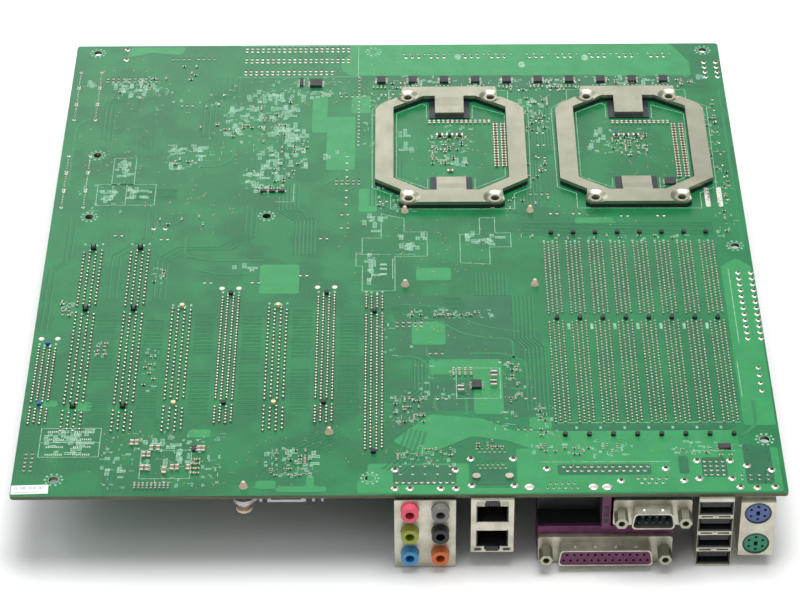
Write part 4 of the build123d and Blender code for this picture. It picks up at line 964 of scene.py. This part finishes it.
def lamp(name, place, size, power):
    data = bpy.data.lights.new(name, "AREA")
    data.shape = "RECTANGLE"
    data.size, data.size_y = size
    data.energy = power
    light = add(name, data)
    light.location = place
    light.rotation_euler = (-Vector(place)).to_track_quat("-Z", "Y").to_euler()


def make_stage():
    mesh = bpy.data.meshes.new("floor")
    corners = box(-FLOOR_HALF, -FLOOR_HALF, FLOOR_HALF, FLOOR_HALF)
    mesh.from_pydata([(x, y, FLOOR_Z) for x, y in corners], [], [(0, 1, 2, 3)])
    paper = Shader("studio_paper", 0.75, specular=0.2)
    paper.paint(paper.ramp(paper.noise(400), [(0.3, colour(250, 250, 248)), (0.7, colour(253, 253, 252))]))
    mesh.materials.append(paper.material)
    floor = add("floor", mesh)
    world = bpy.data.worlds.new("studio")
    world.use_nodes = True
    background = world.node_tree.nodes["Background"]
    background.inputs["Color"].default_value = (0.93, 0.96, 1.0, 1.0)
    background.inputs["Strength"].default_value = 0.33
    bpy.context.scene.world = world
    lamp("overhead", (0.1, 0.05, 1.6), (1, 0.9), 24.5)
    lamp("back_sheen", (-0.7, 2, 1.05), (2.4, 0.9), 17)
    lamp("front_fill", (-0.9, -0.9, 1.5), (1.2, 0.8), 4.5)
    bpy.context.scene.view_settings.view_transform = "Standard"


def make_camera():
    data = bpy.data.cameras.new("camera")
    data.sensor_width = 36.0
    data.lens = 138.05
    data.clip_start, data.clip_end = 0.05, 50.0
    camera = add("camera", data)
    camera.location = at(154.2, -913.9, 779.3)
    camera.rotation_euler = tuple(math.radians(a) for a in (53.181, 0.265, -0.138))
    bpy.context.scene.camera = camera


# ---- finishes of the CAD pieces
def place_x(x):
    return at(x, 0)[0]


def drop_z(drop):
    return at(0, 0, -THICK - drop)[2]


def jack_colours():
    """Six jacks: pink, lime and blue in the left column, grey, black and orange in the right one."""
    shader = Shader("jack_plastic", 0.35)
    height = shader.axis("Z")
    low, high = drop_z(34), drop_z(0)
    cuts = [0, (drop_z(21.6) - low) / (high - low), (drop_z(10.4) - low) / (high - low)]
    columns = (
        (colour(58, 140, 190), colour(146, 156, 52), colour(220, 84, 104)),
        (colour(204, 104, 42), colour(28, 30, 32), colour(116, 114, 110)),
    )
    left, right = [
        shader.ramp(shader.span(height, low, high), list(zip(cuts, column)), smooth=False) for column in columns
    ]
    side = shader.span(shader.axis("X"), place_x(162.5), place_x(162.7))
    outside = shader.span(shader.axis("Y"), at(0, -1.2)[1], at(0, -1.1)[1])
    shader.paint(shader.mix(outside, shader.mix(side, left, right), colour(30, 32, 34)))
    shader.grain(0.3, 0.28, 0.42, 0.01)
    return shader.material


# which CAD nodes wear a finish; a name that ends in _ stands for all that start with it
DRESS = {
    "mask": "pcb", "insulator": "backplate_insulators", "cream": "cpu_socket_", "blue": "pcie_clip_",
    "pci": "pci_slots", "pcie": "pcie_slots", "jacks": "audio_jacks", "ps2": "ps2_sockets", "nylon": "push_pins",
    "burgundy": "parallel_port_housing", "teal": "serial_port_housing", "can": "capacitors",
    "ferrite": "inductors", "chip": "chips driver_chips", "cell": "cmos_battery",
    "nickel": "heatsink_standoffs socket_frames jackscrews cpu_backplate_ load_plate_ load_lever_",
    "black": "dimm_slots audio_stack power_connectors pin_headers battery_holder sata_connectors",
    "white": "dimm_latch_ drive_connectors",
    "tin": "audio_faceplate lan_stack parallel_port_shell serial_port_shell usb_stack ps2_stack",
    "alu": "northbridge_heatsink southbridge_heatsink bridge_heatsink",
}


def dress():
    M["jacks"] = jack_colours()
    for key, name, axis, first, first_colour, second, second_colour in (
        ("ps2", "socket_colours", "Z", drop_z(40), (38, 130, 96), drop_z(15.4), (78, 98, 152)),
        ("pci", "pci_colours", "X", place_x(0), (34, 34, 36), place_x(50), (226, 208, 164)),
        ("pcie", "pcie_colours", "X", place_x(-2), (36, 78, 150), place_x(14), (34, 34, 36)),
    ):
        M[key] = by_place(name, axis, [(first, colour(*first_colour)), (second, colour(*second_colour))])
    for finish_name, names in DRESS.items():
        for node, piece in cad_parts.items():
            if any(node == name or (name.endswith("_") and node.startswith(name)) for name in names.split()):
                piece.data.materials.clear()
                piece.data.materials.append(M[finish_name])


dress()
make_joints()
make_pours()
make_traces()
make_vias()
make_silkscreen()
make_pads()
make_label()
make_small_parts()
make_sleeve_threads()
make_peg_prongs()
make_port_details()
make_stage()
make_camera()
